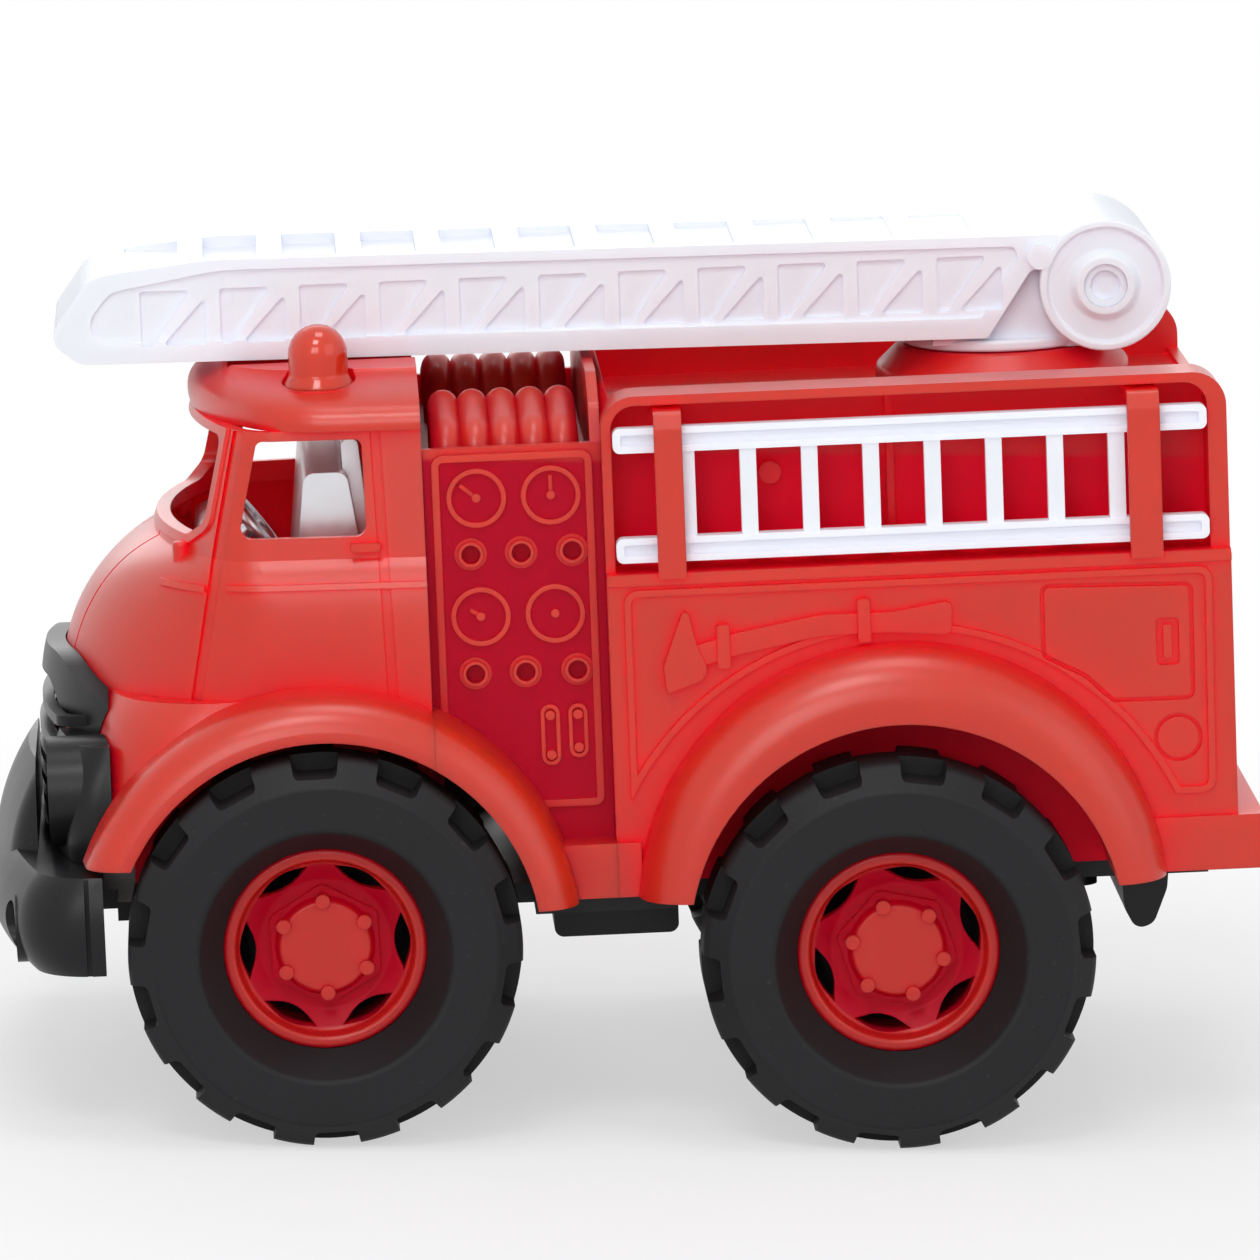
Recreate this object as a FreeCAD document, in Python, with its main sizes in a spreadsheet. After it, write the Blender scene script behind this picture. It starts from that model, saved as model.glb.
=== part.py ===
# Toy fire engine: one-piece red cab and body on a black chassis, free-rolling wheels,
# a turntable with a raising ladder, and two loose side ladders.
#
# The body, chassis and ladder are drawn level, in the body frame: +X forward, +Y to the
# vehicle's left, +Z up. Every body piece is then tipped nose down by rake_angle about
# the origin on the floor, midway along the vehicle. Wheels are drawn upright at their hubs.
import FreeCAD, Part
import math
import os
import Sketcher
from FreeCAD import Placement, Rotation, Vector

os.makedirs("parts", exist_ok=True)
doc = FreeCAD.newDocument("fire_engine")

# ---------------------------------------------------------------- driving sizes
# alias, value (mm or degrees), meaning
SIZES = [
    ("rake_angle", 3.0, "nose-down lean of the body on its wheels"),
    ("body_drop", 0.9, "how far the body sits down over its axles"),
    ("wheelbase", 119.2, "front axle to rear axle"),
    ("front_axle_x", 60.9, "front axle, along the body"),
    ("wheel_outer_y", 79.4, "outer face of the tyres from the centre line"),
    ("tyre_radius", 41.0, "tyre over its lugs"),
    ("tyre_width", 30.0, "tyre across"),
    ("tyre_bore", 21.2, "radius of the hub seat inside the tyre"),
    ("lug_count", 14.0, "lugs in each of the two rows"),
    ("lug_gap", 8.7, "width of the gap between lugs"),
    ("lug_depth", 3.7, "depth of the gap between lugs"),
    ("hub_cap_radius", 9.4, "raised centre of the hub"),
    ("nut_count", 6.0, "nuts and windows on each hub"),
    ("axle_radius", 2.0, "steel axle"),
    ("running_gap", 0.05, "radial clearance of a shaft in its hole"),
    ("seat_gap", 0.3, "clearance of loose pieces to what holds them"),
    ("wall", 2.2, "wall of the red mouldings"),
    ("floor_z", 51.5, "underside of the red body"),
    ("sill_z", 63.0, "top of the running board and rear step"),
    ("cab_rear_x", 36.5, "back of the cab"),
    ("cab_front_x", 114.5, "foremost point of the nose"),
    ("cab_half", 60.5, "half width of the cab at the doors"),
    ("belt_z", 124.0, "foot of the cab windows and windscreen"),
    ("eaves_z", 151.2, "underside of the roof edge"),
    ("roof_z", 161.4, "top of the roof"),
    ("channel_half", 22.5, "half width of the ladder channel in the roof"),
    ("channel_z", 154.5, "floor of the ladder channel"),
    ("body_front_x", -0.8, "front of the rear body"),
    ("body_rear_x", -131.0, "back of the rear body"),
    ("body_half", 60.0, "half width of the rear body below the ledge"),
    ("rack_half", 58.0, "half width of the rim round the ladder racks"),
    ("rack_back_half", 48.0, "half width over the back walls of the ladder racks"),
    ("ledge_z", 119.4, "ledge under the side ladders"),
    ("rim_z", 156.4, "top rim of the rear body"),
    ("rim_height", 2.0, "thickness of the rim round the racks"),
    ("deck_z", 145.0, "deck between the racks"),
    ("panel_half", 54.0, "half width over the gauge panels"),
    ("panel_top_z", 146.5, "top of the gauge panels"),
    ("bay_floor_z", 141.0, "floor of the hose bay"),
    ("fender_half", 73.0, "half width over the fenders"),
    ("front_arch_gap", 3.5, "front wheel arch, clear of the tyre"),
    ("rear_arch_gap", 4.3, "rear wheel arch, clear of the tyre"),
    ("front_fender", 9.3, "front fender, arch to outer edge"),
    ("rear_fender", 15.5, "rear fender, arch to outer edge at the top"),
    ("rear_fender_rise", 5.1, "centre of its outer edge above the arch centre"),
    ("turn_x", -88.9, "turntable axis, along the body"),
    ("turntable_z", 156.8, "underside of the turntable disc"),
    ("turntable_radius", 21.2, "turntable disc"),
    ("collar_radius", 27.0, "foot of the turntable collar"),
    ("spindle_radius", 10.0, "turntable spindle"),
    ("pivot_x", -109.7, "ladder pivot, along the body"),
    ("pivot_z", 170.2, "ladder pivot, height"),
    ("drum_radius", 13.9, "drum at the foot of the ladder"),
    ("pin_radius", 4.6, "pivot pins on the turntable ears"),
    ("ladder_half", 21.2, "half width of the ladder"),
    ("ladder_wall", 3.0, "side wall of the ladder"),
    ("ladder_heel_x", -84.5, "rear end of the ladder's lower edge"),
    ("ladder_heel_z", 159.9, "lower edge of the ladder at its heel"),
    ("ladder_rise", 2.6, "how much higher the lower edge is at the tip"),
    ("ladder_crown_z", 183.6, "highest point of the ladder"),
    ("ladder_tip_x", 113.0, "tip of the ladder"),
    ("ladder_bay", 16.8, "pitch of the truss bays and rungs"),
    ("ladder_bays", 11.0, "truss bays along the ladder"),
    ("rail_height", 5.2, "side ladder rail"),
    ("rail_low_z", 124.2, "middle of the lower rail of a side ladder"),
    ("rail_high_z", 147.3, "middle of the upper rail of a side ladder"),
    ("side_rung_pitch", 12.78, "pitch of the rungs of a side ladder"),
    ("side_rung_count", 8.0, "rungs of a side ladder"),
    ("side_rung_x", -18.3, "foremost rung of a side ladder"),
    ("beacon_x", 57.0, "roof beacons, along the body"),
    ("beacon_y", 38.0, "roof beacons, from the centre line"),
    ("beacon_radius", 6.2, "dome of a beacon"),
    ("beacon_top_z", 171.5, "top of a beacon"),
    ("bumper_front_x", 130.6, "foremost point of the bumper"),
    ("bumper_half", 72.0, "half width of the bumper"),
    ("headlight_radius", 9.0, "headlight lens"),
]
sheet = doc.addObject("Spreadsheet::Sheet", "Sizes")
for row, (alias, value, meaning) in enumerate(SIZES, start=1):
    sheet.set(f"A{row}", meaning)
    sheet.set(f"B{row}", str(value))
    sheet.setAlias(f"B{row}", alias)
doc.recompute()


def size(alias):
    """A driving size, read back from the sheet."""
    return float(sheet.get(alias))

# ---------------------------------------------------------------- sizes worked out
RAKE = math.radians(size("rake_angle"))
WALL = size("wall")
REAR_AXLE_X = size("front_axle_x") - size("wheelbase")
WHEEL_Y = size("wheel_outer_y") - size("tyre_width") / 2


def axle_z(along):
    """Height in the body frame of an axle whose wheels stand on the floor."""
    lift = size("tyre_radius") + size("body_drop")
    return (lift + along * math.sin(RAKE)) / math.cos(RAKE)


def on_floor(along, up):
    """A point of the level body frame once the body stands on its wheels: x and z."""
    return (
        along * math.cos(RAKE) + up * math.sin(RAKE),
        up * math.cos(RAKE) - along * math.sin(RAKE) - size("body_drop"),
    )


LEANED = Placement(Vector(0, 0, -size("body_drop")),
                   Rotation(Vector(0, 1, 0), size("rake_angle")))
AXLES = {
    "front": (size("front_axle_x"), axle_z(size("front_axle_x"))),
    "rear": (REAR_AXLE_X, axle_z(REAR_AXLE_X)),
}

# ---------------------------------------------------------------- drawing helpers
# A drawing plane: how (across, up, depth) becomes a point, and which way depth runs.
PLANES = {
    "side": (lambda a, b, depth: Vector(a, depth, b), Vector(0, 1, 0)),
    "top": (lambda a, b, depth: Vector(a, b, depth), Vector(0, 0, 1)),
    "front": (lambda a, b, depth: Vector(depth, a, b), Vector(1, 0, 0)),
}


def corner_turns(rows):
    """For each corner of an outline of (across, up, corner radius) rows: where its
    rounding begins, where it ends, and the rounding's centre, or None if it is sharp."""
    points = [Vector(a, b, 0) for a, b, _ in rows]
    turns = []
    for i, (_, _, radius) in enumerate(rows):
        here = points[i]
        back = (points[i - 1] - here).normalize()
        ahead = (points[(i + 1) % len(rows)] - here).normalize()
        if radius <= 0:
            turns.append((here, here, None))
            continue
        half = back.getAngle(ahead) / 2
        reach = radius / math.tan(half)
        centre = here + (back + ahead).normalize() * (radius / math.sin(half))
        turns.append((here + back * reach, here + ahead * reach, centre))
    return turns


def outline_face(rows, plane, depth):
    """A flat face bounded by an outline; each row is (across, up, corner radius)."""
    place, _ = PLANES[plane]
    turns = corner_turns(rows)
    edges = []
    for i, (enter, leave, centre) in enumerate(turns):
        start, end = [place(p.x, p.y, depth) for p in (enter, leave)]
        if centre:
            bisector = (enter + leave - centre * 2).normalize()
            knee = centre + bisector * rows[i][2]
            edges.append(Part.Arc(start, place(knee.x, knee.y, depth), end).toShape())
        after = turns[(i + 1) % len(turns)][0]
        onward = place(after.x, after.y, depth)
        if end.distanceToPoint(onward) > 1e-6:
            edges.append(Part.makeLine(end, onward))
    return Part.Face(Part.Wire(Part.__sortEdges__(edges)))


def prism(rows, plane, start, end):
    """An outline pulled straight from one depth to another."""
    _, way = PLANES[plane]
    return outline_face(rows, plane, start).extrude(way * (end - start))


def band(rows, plane, width, start, end):
    """The rim of an outline, as wide as given inside it, pulled straight."""
    _, way = PLANES[plane]
    whole = outline_face(rows, plane, start)
    return whole.cut(whole.makeOffset2D(-width)).extrude(way * (end - start))


def box(low, high):
    """A box between two corners."""
    span = Vector(*high) - Vector(*low)
    return Part.makeBox(span.x, span.y, span.z, Vector(*low))


def disc(centre, radius, start, end, plane="side"):
    """A round bar across a drawing plane, centred on (across, up)."""
    place, way = PLANES[plane]
    return Part.makeCylinder(radius, end - start, place(*centre, start), way)


def ring(centre, outer, inner, start, end):
    """A flat ring on a side wall."""
    return disc(centre, outer, start, end).cut(disc(centre, inner, start - 1, end + 1))


def both_sides(shape):
    """The shape and its mirror image in the centre plane."""
    return [shape, shape.mirror(Vector(0, 0, 0), Vector(0, 1, 0))]


def fused(shapes):
    """One solid out of pieces that overlap or meet."""
    whole = shapes[0].multiFuse(shapes[1:]) if len(shapes) > 1 else shapes[0]
    whole = whole.removeSplitter()
    return whole.Solids[0] if len(whole.Solids) == 1 else whole


def without(shape, tools):
    """The shape with every tool taken away."""
    left = shape.cut(tools)
    return left.Solids[0] if len(left.Solids) == 1 else left


def turned(rows, centre):
    """A ring turned about a cross axis; rows are (radius, distance out, corner radius)."""
    along, up = centre
    face = outline_face([(along + r, y, c) for r, y, c in rows], "top", up)
    return face.revolve(Vector(along, 0, up), Vector(0, 1, 0), 360)


def spun(rows, along):
    """A ring turned about an upright axis; rows are (radius, height, corner radius)."""
    face = outline_face([(along + r, z, c) for r, z, c in rows], "side", 0)
    return face.revolve(Vector(along, 0, 0), Vector(0, 0, 1), 360)


def add_shape(name, shape, placement=None):
    """A named sub-part whose shape is worked out here."""
    piece = doc.addObject("Part::Feature", name)
    piece.Label = name
    piece.Shape = shape
    piece.Placement = placement or Placement()
    return piece


# ---------------------------------------------------------------- modelled bodies
class Moulding:
    """A PartDesign body. Every sketch corner, depth and radius is an expression on the
    sheet, so the piece follows it."""

    ROLES = {"side": "XZ_Plane", "top": "XY_Plane", "front": "YZ_Plane"}

    def __init__(self, name, placement):
        self.name = name
        self.body = doc.addObject("PartDesign::Body", name)
        self.body.Label = name
        self.body.Placement = placement

    def datum(self, role):
        """One of the body's own planes or axes."""
        return next(f for f in self.body.Origin.OriginFeatures if f.Role == role)

    def add(self, kind, title):
        return self.body.newObject(kind, f"{self.name}_{title}")

    def blank(self, plane, depth, shift):
        """An empty sketch lying at a depth, its origin moved across by shift."""
        sketch = self.add("Sketcher::SketchObject", "outline")
        sketch.AttachmentSupport = [(self.datum(self.ROLES[plane]), "")]
        sketch.MapMode = "FlatFace"
        lift = f"-({depth})" if plane == "side" else str(depth)
        sketch.setExpression("AttachmentOffset.Base.z", lift)
        if shift:
            sketch.setExpression("AttachmentOffset.Base.x", str(shift))
        return sketch

    def draw(self, plane, rows, depth="0", shift=None):
        """A fully tied outline; rows are (across, up, corner radius) expressions."""
        sketch = self.blank(plane, depth, shift)
        numbers = [tuple(worth(text) for text in row) for row in rows]
        turns = corner_turns(numbers)
        count = len(rows)
        shapes = [Part.LineSegment(turns[i][1], turns[(i + 1) % count][0])
                  for i in range(count)]
        rules, ties, guides = [], [], []

        def tie(text, rule):
            ties.append((len(rules), text))
            rules.append(rule)

        for i, (enter, leave, centre) in enumerate(turns):
            before = (i - 1) % count
            across, up, radius = numbers[i]
            corner = i
            if centre is None:
                rules.append(Sketcher.Constraint("Coincident", before, 2, i, 1))
            else:
                first = math.atan2(enter.y - centre.y, enter.x - centre.x)
                last = math.atan2(leave.y - centre.y, leave.x - centre.x)
                sweep = (last - first) % (2 * math.pi)
                onward = sweep < math.pi
                span = (first, first + sweep) if onward else (last, last + 2 * math.pi - sweep)
                arc = len(shapes)
                circle = Part.Circle(centre, Vector(0, 0, 1), radius)
                shapes.append(Part.ArcOfCircle(circle, *span))
                corner = len(shapes)
                shapes.append(Part.Point(Vector(across, up, 0)))
                guides.append(corner)
                near, far = (1, 2) if onward else (2, 1)
                rules.append(Sketcher.Constraint("Tangent", before, 2, arc, near))
                rules.append(Sketcher.Constraint("Tangent", arc, far, i, 1))
                rules.append(Sketcher.Constraint("PointOnObject", corner, 1, before))
                rules.append(Sketcher.Constraint("PointOnObject", corner, 1, i))
                tie(rows[i][2], Sketcher.Constraint("Radius", arc, radius))
            tie(rows[i][0], Sketcher.Constraint("DistanceX", -1, 1, corner, 1, across))
            tie(rows[i][1], Sketcher.Constraint("DistanceY", -1, 1, corner, 1, up))
        sketch.addGeometry(shapes, False)
        for guide in guides:
            sketch.toggleConstruction(guide)
        sketch.addConstraint(rules)
        for index, text in ties:
            sketch.setExpression(f"Constraints[{index}]", str(text))
        return sketch

    def draw_circle(self, plane, centre, radius, depth):
        """A fully tied circle."""
        sketch = self.blank(plane, depth, None)
        across, up = [worth(text) for text in centre]
        circle = Part.Circle(Vector(across, up, 0), Vector(0, 0, 1), worth(radius))
        sketch.addGeometry([circle], False)
        sketch.addConstraint([
            Sketcher.Constraint("DistanceX", -1, 1, 0, 3, across),
            Sketcher.Constraint("DistanceY", -1, 1, 0, 3, up),
            Sketcher.Constraint("Radius", 0, worth(radius)),
        ])
        for index, text in enumerate((*centre, radius)):
            sketch.setExpression(f"Constraints[{index}]", str(text))
        return sketch

    def straight(self, kind, sketch, plane, start, end):
        """A pad or pocket of a sketch, from the start depth to the end depth."""
        feature = self.add("PartDesign::" + kind, kind.lower())
        feature.Profile = sketch
        feature.setExpression("Length", f"({end}) - ({start})")
        feature.Reversed = (plane != "side") if kind == "Pocket" else (plane == "side")
        return feature

    def pad(self, plane, rows, start, end):
        return self.straight("Pad", self.draw(plane, rows, start), plane, start, end)

    def pocket(self, plane, rows, start, end):
        return self.straight("Pocket", self.draw(plane, rows, start), plane, start, end)

    def round_pad(self, plane, centre, radius, start, end):
        sketch = self.draw_circle(plane, centre, radius, start)
        return self.straight("Pad", sketch, plane, start, end)

    def round_pocket(self, plane, centre, radius, start, end):
        sketch = self.draw_circle(plane, centre, radius, start)
        return self.straight("Pocket", sketch, plane, start, end)

    def revolve(self, plane, rows, depth="0", shift=None):
        """A turned piece; rows are (radius, distance along the axis, corner radius)."""
        sketch = self.draw(plane, rows, depth, shift)
        feature = self.add("PartDesign::Revolution", "turned")
        feature.Profile = sketch
        feature.ReferenceAxis = (sketch, ["V_Axis"])
        feature.Angle = 360
        return feature

    def polar(self, features, count):
        """Copies of features round the body's own cross axis."""
        pattern = self.add("PartDesign::PolarPattern", "ring")
        pattern.Originals = features
        pattern.Axis = (self.datum("Y_Axis"), [""])
        pattern.Angle = 360
        pattern.setExpression("Occurrences", str(count))
        self.body.Tip = pattern

    def row_of(self, features, pitch, count):
        """Copies of features in a row towards the rear."""
        pattern = self.add("PartDesign::LinearPattern", "row")
        pattern.Originals = features
        pattern.Direction = (self.datum("X_Axis"), [""])
        pattern.Reversed = True
        pattern.setExpression("Length", f"({pitch}) * (({count}) - 1)")
        pattern.setExpression("Occurrences", str(count))
        self.body.Tip = pattern

    def mirrored(self, features):
        """Copies of features on the other side of the body's centre plane."""
        copy = self.add("PartDesign::Mirrored", "mirror")
        copy.Originals = features
        copy.MirrorPlane = (self.datum("XZ_Plane"), [""])
        self.body.Tip = copy


def worth(text):
    """The number an expression on the sheet works out to."""
    return float(sheet.evalExpression(str(text)))


# ---------------------------------------------------------------- cab outline
def plan_wire(height, rear_x, half, taper, front_x, bow, corner):
    """Plan of a cab, roof or bumper: straight sides that close in towards the front by
    taper degrees, round corners, and a front that bows with its own large radius."""
    lean = math.radians(taper)
    side = Vector(math.cos(lean), -math.sin(lean), 0)
    inward = Vector(-math.sin(lean), -math.cos(lean), 0)
    start = Vector(rear_x, half, 0)
    bow_centre = Vector(front_x - bow, 0, 0)
    # the corner's centre lies `corner` inside the side and `bow - corner` from the bow's
    base = start + inward * corner - bow_centre
    along = base.dot(side)
    reach = -along + math.sqrt(along * along - base.dot(base) + (bow - corner) ** 2)
    centre = start + inward * corner + side * reach
    leave = centre - inward * corner
    meet = bow_centre + (centre - bow_centre).normalize() * bow
    bisector = ((leave - centre) + (meet - centre)).normalize()
    knee = centre + bisector * corner

    def lifted(point, flip=1):
        return Vector(point.x, point.y * flip, height)

    tip = Vector(front_x, 0, height)
    return Part.Wire([
        Part.makeLine(lifted(start, -1), lifted(start)),
        Part.makeLine(lifted(start), lifted(leave)),
        Part.Arc(lifted(leave), lifted(knee), lifted(meet)).toShape(),
        Part.Arc(lifted(meet), tip, lifted(meet, -1)).toShape(),
        Part.Arc(lifted(meet, -1), lifted(knee, -1), lifted(leave, -1)).toShape(),
        Part.makeLine(lifted(leave, -1), lifted(start, -1)),
    ])


def plan_loft(sections, rear_x, taper, inset=0):
    """A solid through plans; rows are (height, half width, front x, bow, corner)."""
    wires = [
        plan_wire(height, rear_x + inset, half - inset, taper, front_x - inset,
                  bow - inset, max(corner - inset, 1))
        for height, half, front_x, bow, corner in sections
    ]
    return Part.makeLoft(wires, True, False)


def plan_slab(low, high, half, front_x, bow, corner, rear_x):
    """A level slab with a bowed front and square sides."""
    return plan_loft([(low, half, front_x, bow, corner), (high, half, front_x, bow, corner)],
                     rear_x, 0)


# ---------------------------------------------------------------- wheel arches
ARCH = {which: size("tyre_radius") + size(f"{which}_arch_gap") for which in AXLES}
FENDER_DEPTH = {"front": size("front_fender"), "rear": size("rear_fender")}
FENDER_RISE = {"front": 0, "rear": size("rear_fender_rise")}
# how far each arch centre lies from its axle, along and up
ARCH_SHIFT = {"front": (-0.6, -0.6), "rear": (-1.9, 3.3)}
ARCH_CENTRE = {
    which: (along + ARCH_SHIFT[which][0], up + ARCH_SHIFT[which][1])
    for which, (along, up) in AXLES.items()
}
TUB_INNER = size("wheel_outer_y") - size("tyre_width") - 3.4
FAR_OUT = size("fender_half") + 10


def over_arch(which):
    """The space above the floor line round a wheel, left-hand side."""
    along, up = ARCH_CENTRE[which]
    return box((along - 90, 0, size("floor_z")), (along + 90, FAR_OUT, up + 90))


def fender_band(which, side_half):
    """Hollow band over a wheel, standing out from a body side, left-hand side. Its outer
    edge is a circle that may rise above the arch, so the band is thickest at the top."""
    arch, depth, rise = ARCH[which], FENDER_DEPTH[which], FENDER_RISE[which]
    along, up = ARCH_CENTRE[which]
    outer = arch + depth - rise
    root, face = side_half - WALL, size("fender_half")
    bend = min(depth, face - side_half) * 0.86
    middle = (along, up + rise)
    skin = turned([(0, root, 0), (0, face, 0), (outer - 1.2, face, bend), (outer, root, 0)],
                  middle)
    under = turned([(0, root - 1, 0), (0, face - WALL, 0),
                    (outer - 1.2 - WALL, face - WALL, bend - WALL),
                    (outer - WALL, root - 1, 0)], middle)
    lip = skin.common(disc((along, up), arch + WALL, root, FAR_OUT))
    shell = fused([skin.cut(under), lip])
    return shell.cut(arch_void(which)).common(over_arch(which))


def wheel_tub(which):
    """Inner wall and roof of a wheel well, left-hand side."""
    tub = disc(ARCH_CENTRE[which], ARCH[which] + WALL, TUB_INNER - WALL,
               size("body_half") - WALL / 2)
    return tub.common(over_arch(which))


def arch_void(which):
    """The room a wheel turns in, left-hand side."""
    return disc(ARCH_CENTRE[which], ARCH[which], TUB_INNER, FAR_OUT)


# ---------------------------------------------------------------- cab
CAB_TAPER = 5.0
EAVES = size("eaves_z")
BELT = size("belt_z")
FLOOR = size("floor_z")
HALF = size("cab_half")
FRONT = size("cab_front_x")
# the nose bows with a radius a little over its half width
BOW = HALF + 1.5
CORNER = HALF * 0.56
# height, half width at the back, front x, bow radius, corner radius
NOSE_SECTIONS = [
    (FLOOR + 11, HALF, FRONT - 12.0, BOW, CORNER),
    (BELT - 46, HALF, FRONT - 4.0, BOW, CORNER),
    (BELT - 38, HALF, FRONT - 0.2, BOW, CORNER),
    (BELT - 30, HALF, FRONT - 0.4, BOW, CORNER),
    (BELT - 20, HALF, FRONT - 2.6, BOW, CORNER),
    (BELT - 11, HALF - 0.4, FRONT - 7.2, BOW + 4, CORNER - 4),
    (BELT - 5, HALF - 1.3, FRONT - 12.6, BOW + 14, CORNER - 11),
    (BELT + 0.5, HALF - 3.8, FRONT - 21.5, BOW + 40, 13),
]
GREENHOUSE_SECTIONS = [
    (BELT + 0.5, HALF - 3.8, FRONT - 21.5, BOW + 40, 13),
    (EAVES, HALF - 6.3, FRONT - 31.2, BOW + 70, 11),
]
ROOF_SECTIONS = [
    (EAVES, HALF - 4.0, FRONT - 30.2, BOW + 24, 20),
    (EAVES + 2.6, HALF - 4.2, FRONT - 29.8, BOW + 24, 20),
    (EAVES + 6.2, HALF - 9.0, FRONT - 31.0, BOW + 24, 20),
    (size("roof_z"), HALF - 24.0, FRONT - 36.0, BOW + 24, 20),
]
NACELLE_SECTIONS = [
    (FLOOR + 11, HALF + 5.5, FRONT - 0.5, 240, 16),
    (FLOOR + 25, HALF + 4.0, FRONT - 4.0, 240, 18),
    (FLOOR + 36, HALF + 1.5, FRONT - 5.5, 240, 20),
    (FLOOR + 44, HALF - 3.5, FRONT - 9.0, 240, 22),
]
# side window corners: along, up, corner radius
SIDE_WINDOW = [
    (75.2, 129.0, 2.2), (70.6, 149.2, 1.6), (48.8, 149.2, 1.6), (48.6, 129.0, 2.2),
]
# windscreen corners: across, up, corner radius
WINDSCREEN = [
    (43.0, 131.4, 3.0), (41.0, 149.4, 3.0), (-41.0, 149.4, 3.0), (-43.0, 131.4, 3.0),
    (-36.0, 128.0, 8.0), (36.0, 128.0, 8.0),
]
WINDSCREEN_RIM = [
    (45.4, 130.6, 4.0), (43.2, 153.0, 2.0), (-43.2, 153.0, 2.0), (-45.4, 130.6, 4.0),
    (-37.0, 126.0, 9.0), (37.0, 126.0, 9.0),
]
# panel lines on the cab side: the door's front edge and its strip at the rear
DOOR_FRONT = [
    (75.3, 151.0, 0), (80.6, 126.6, 8.0), (87.2, 92.0, 0), (85.0, 92.0, 0),
    (78.4, 126.2, 8.0), (73.1, 151.0, 0),
]
DOOR_REAR = [(47.1, 151.0, 0), (45.5, 92.0, 0), (43.3, 92.0, 0), (44.9, 151.0, 0)]
BELT_RIDGE = [(30.0, 118.6, 0), (78.3, 118.6, 0), (78.3, 119.8, 0), (30.0, 119.8, 0)]
HOOD_RIB = [(82.8, 118.0, 0), (92.0, 118.2, 0), (92.0, 119.4, 0), (82.8, 119.4, 0)]
HOOD_LINE = [(15.6, 92.0, 0), (14.2, 126.0, 0), (13.4, 126.0, 0), (14.8, 92.0, 0)]


def cab_form(inset):
    """The closed outside of the cab, moved in by inset."""
    rear = size("cab_rear_x")
    return [plan_loft(sections, rear, CAB_TAPER, inset)
            for sections in (NOSE_SECTIONS, GREENHOUSE_SECTIONS)]


def beacon_seat(side):
    """Round boss under a beacon and the pocket that takes it."""
    centre = (size("beacon_x"), side * size("beacon_y"))
    boss = disc(centre, size("beacon_radius") + 2.6, EAVES + 1, EAVES + 7.4, "top")
    pocket = disc(centre, size("beacon_radius") + 1.5, EAVES + 6.2, size("roof_z") + 9, "top")
    return boss, pocket


def make_cab():
    rear = size("cab_rear_x")
    shell = fused(cab_form(0) + [
        plan_loft(ROOF_SECTIONS, rear, CAB_TAPER),
        plan_loft(NACELLE_SECTIONS, size("front_axle_x"), 0),
    ])
    hollow = [
        plan_loft([(FLOOR, *NOSE_SECTIONS[0][1:])] + NOSE_SECTIONS, rear, CAB_TAPER, WALL),
        plan_loft(GREENHOUSE_SECTIONS, rear, CAB_TAPER, WALL),
        plan_loft([(EAVES - 0.5, *ROOF_SECTIONS[0][1:]),
                   (EAVES + 1.5, *ROOF_SECTIONS[0][1:])], rear, CAB_TAPER, WALL + 3),
    ]
    shell = without(shell, hollow)
    # panel lines sunk into the skin; ridges and the windscreen's rim stand out of it
    nose_out, house_out = cab_form(-0.7)
    nose_in, house_in = cab_form(0.9)
    lines = [prism(rows, "side", 30, FAR_OUT) for rows in (DOOR_FRONT, DOOR_REAR)]
    lines.append(prism(HOOD_LINE, "front", 60, 130))
    line_tools = [tool for line in lines for tool in both_sides(line)]
    over, under = fused(cab_form(-0.3)), fused(cab_form(0.55))
    grooves = [over.common(tool).cut(under) for tool in line_tools]
    ridges = [nose_out.common(tool).cut(nose_in) for rows in (BELT_RIDGE, HOOD_RIB)
              for tool in both_sides(prism(rows, "side", 30, FAR_OUT))]
    frame = prism(WINDSCREEN_RIM, "front", 60, 130).cut(prism(WINDSCREEN, "front", 50, 140))
    rim = house_out.common(frame).cut(house_in)
    seats = [beacon_seat(side) for side in (1, -1)]
    solids = [boss for boss, _ in seats] + rim.Solids
    solids += both_sides(fender_band("front", HALF))
    solids += both_sides(wheel_tub("front"))
    handle = prism([(45.8, 126.1, 0.6), (52.1, 126.1, 0.6), (52.1, 127.9, 0.6),
                    (45.8, 127.9, 0.6)], "side", HALF - 6.6, HALF - 3.0)
    nub = spun([(0, BELT - 4, 0), (1.9, BELT - 4, 0), (1.9, BELT + 2.6, 0.8),
                (0, BELT + 2.6, 0)], FRONT - 27.2)
    nub.translate(Vector(0, 36, 0))
    solids += both_sides(handle) + both_sides(nub)
    for ridge in ridges:
        solids += ridge.Solids
    # joined without merging faces, which the thin ridges don't survive
    shell = without(shell, grooves).multiFuse(solids)
    behind = box((rear - 90, -FAR_OUT, 0), (rear, FAR_OUT, 200))
    below = box((0, -FAR_OUT, FLOOR - 20), (200, FAR_OUT, FLOOR))
    low_front = box((100, -FAR_OUT, FLOOR), (130, FAR_OUT, FLOOR + 12.2))
    channel = box((rear - 1, -size("channel_half"), size("channel_z")),
                  (76, size("channel_half"), 200))
    screen = prism(WINDSCREEN, "front", 60, 130)
    tools = [behind, below, low_front, channel, screen]
    tools += both_sides(arch_void("front"))
    tools += both_sides(prism(SIDE_WINDOW, "side", 40, FAR_OUT))
    tools += [pocket for _, pocket in seats]
    return without(shell, tools)


# ---------------------------------------------------------------- gauge panels and hoses
HOSE_COUNT = 5
HOSE_PITCH = 6.1
HOSE_RADIUS = 3.25
# along, up, needle length and needle angle (degrees from straight forward, upwards)
GAUGES = [(25.5, 136.0, 4.4, 40), (10.0, 136.0, 4.2, 90), (25.5, 111.0, 2.6, 35),
          (10.0, 111.0, 0, 0)]
KNOBS = [(27.1, 124.2), (16.6, 124.2), (6.0, 124.2), (27.1, 99.0), (16.6, 99.0), (5.8, 99.0)]
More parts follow.
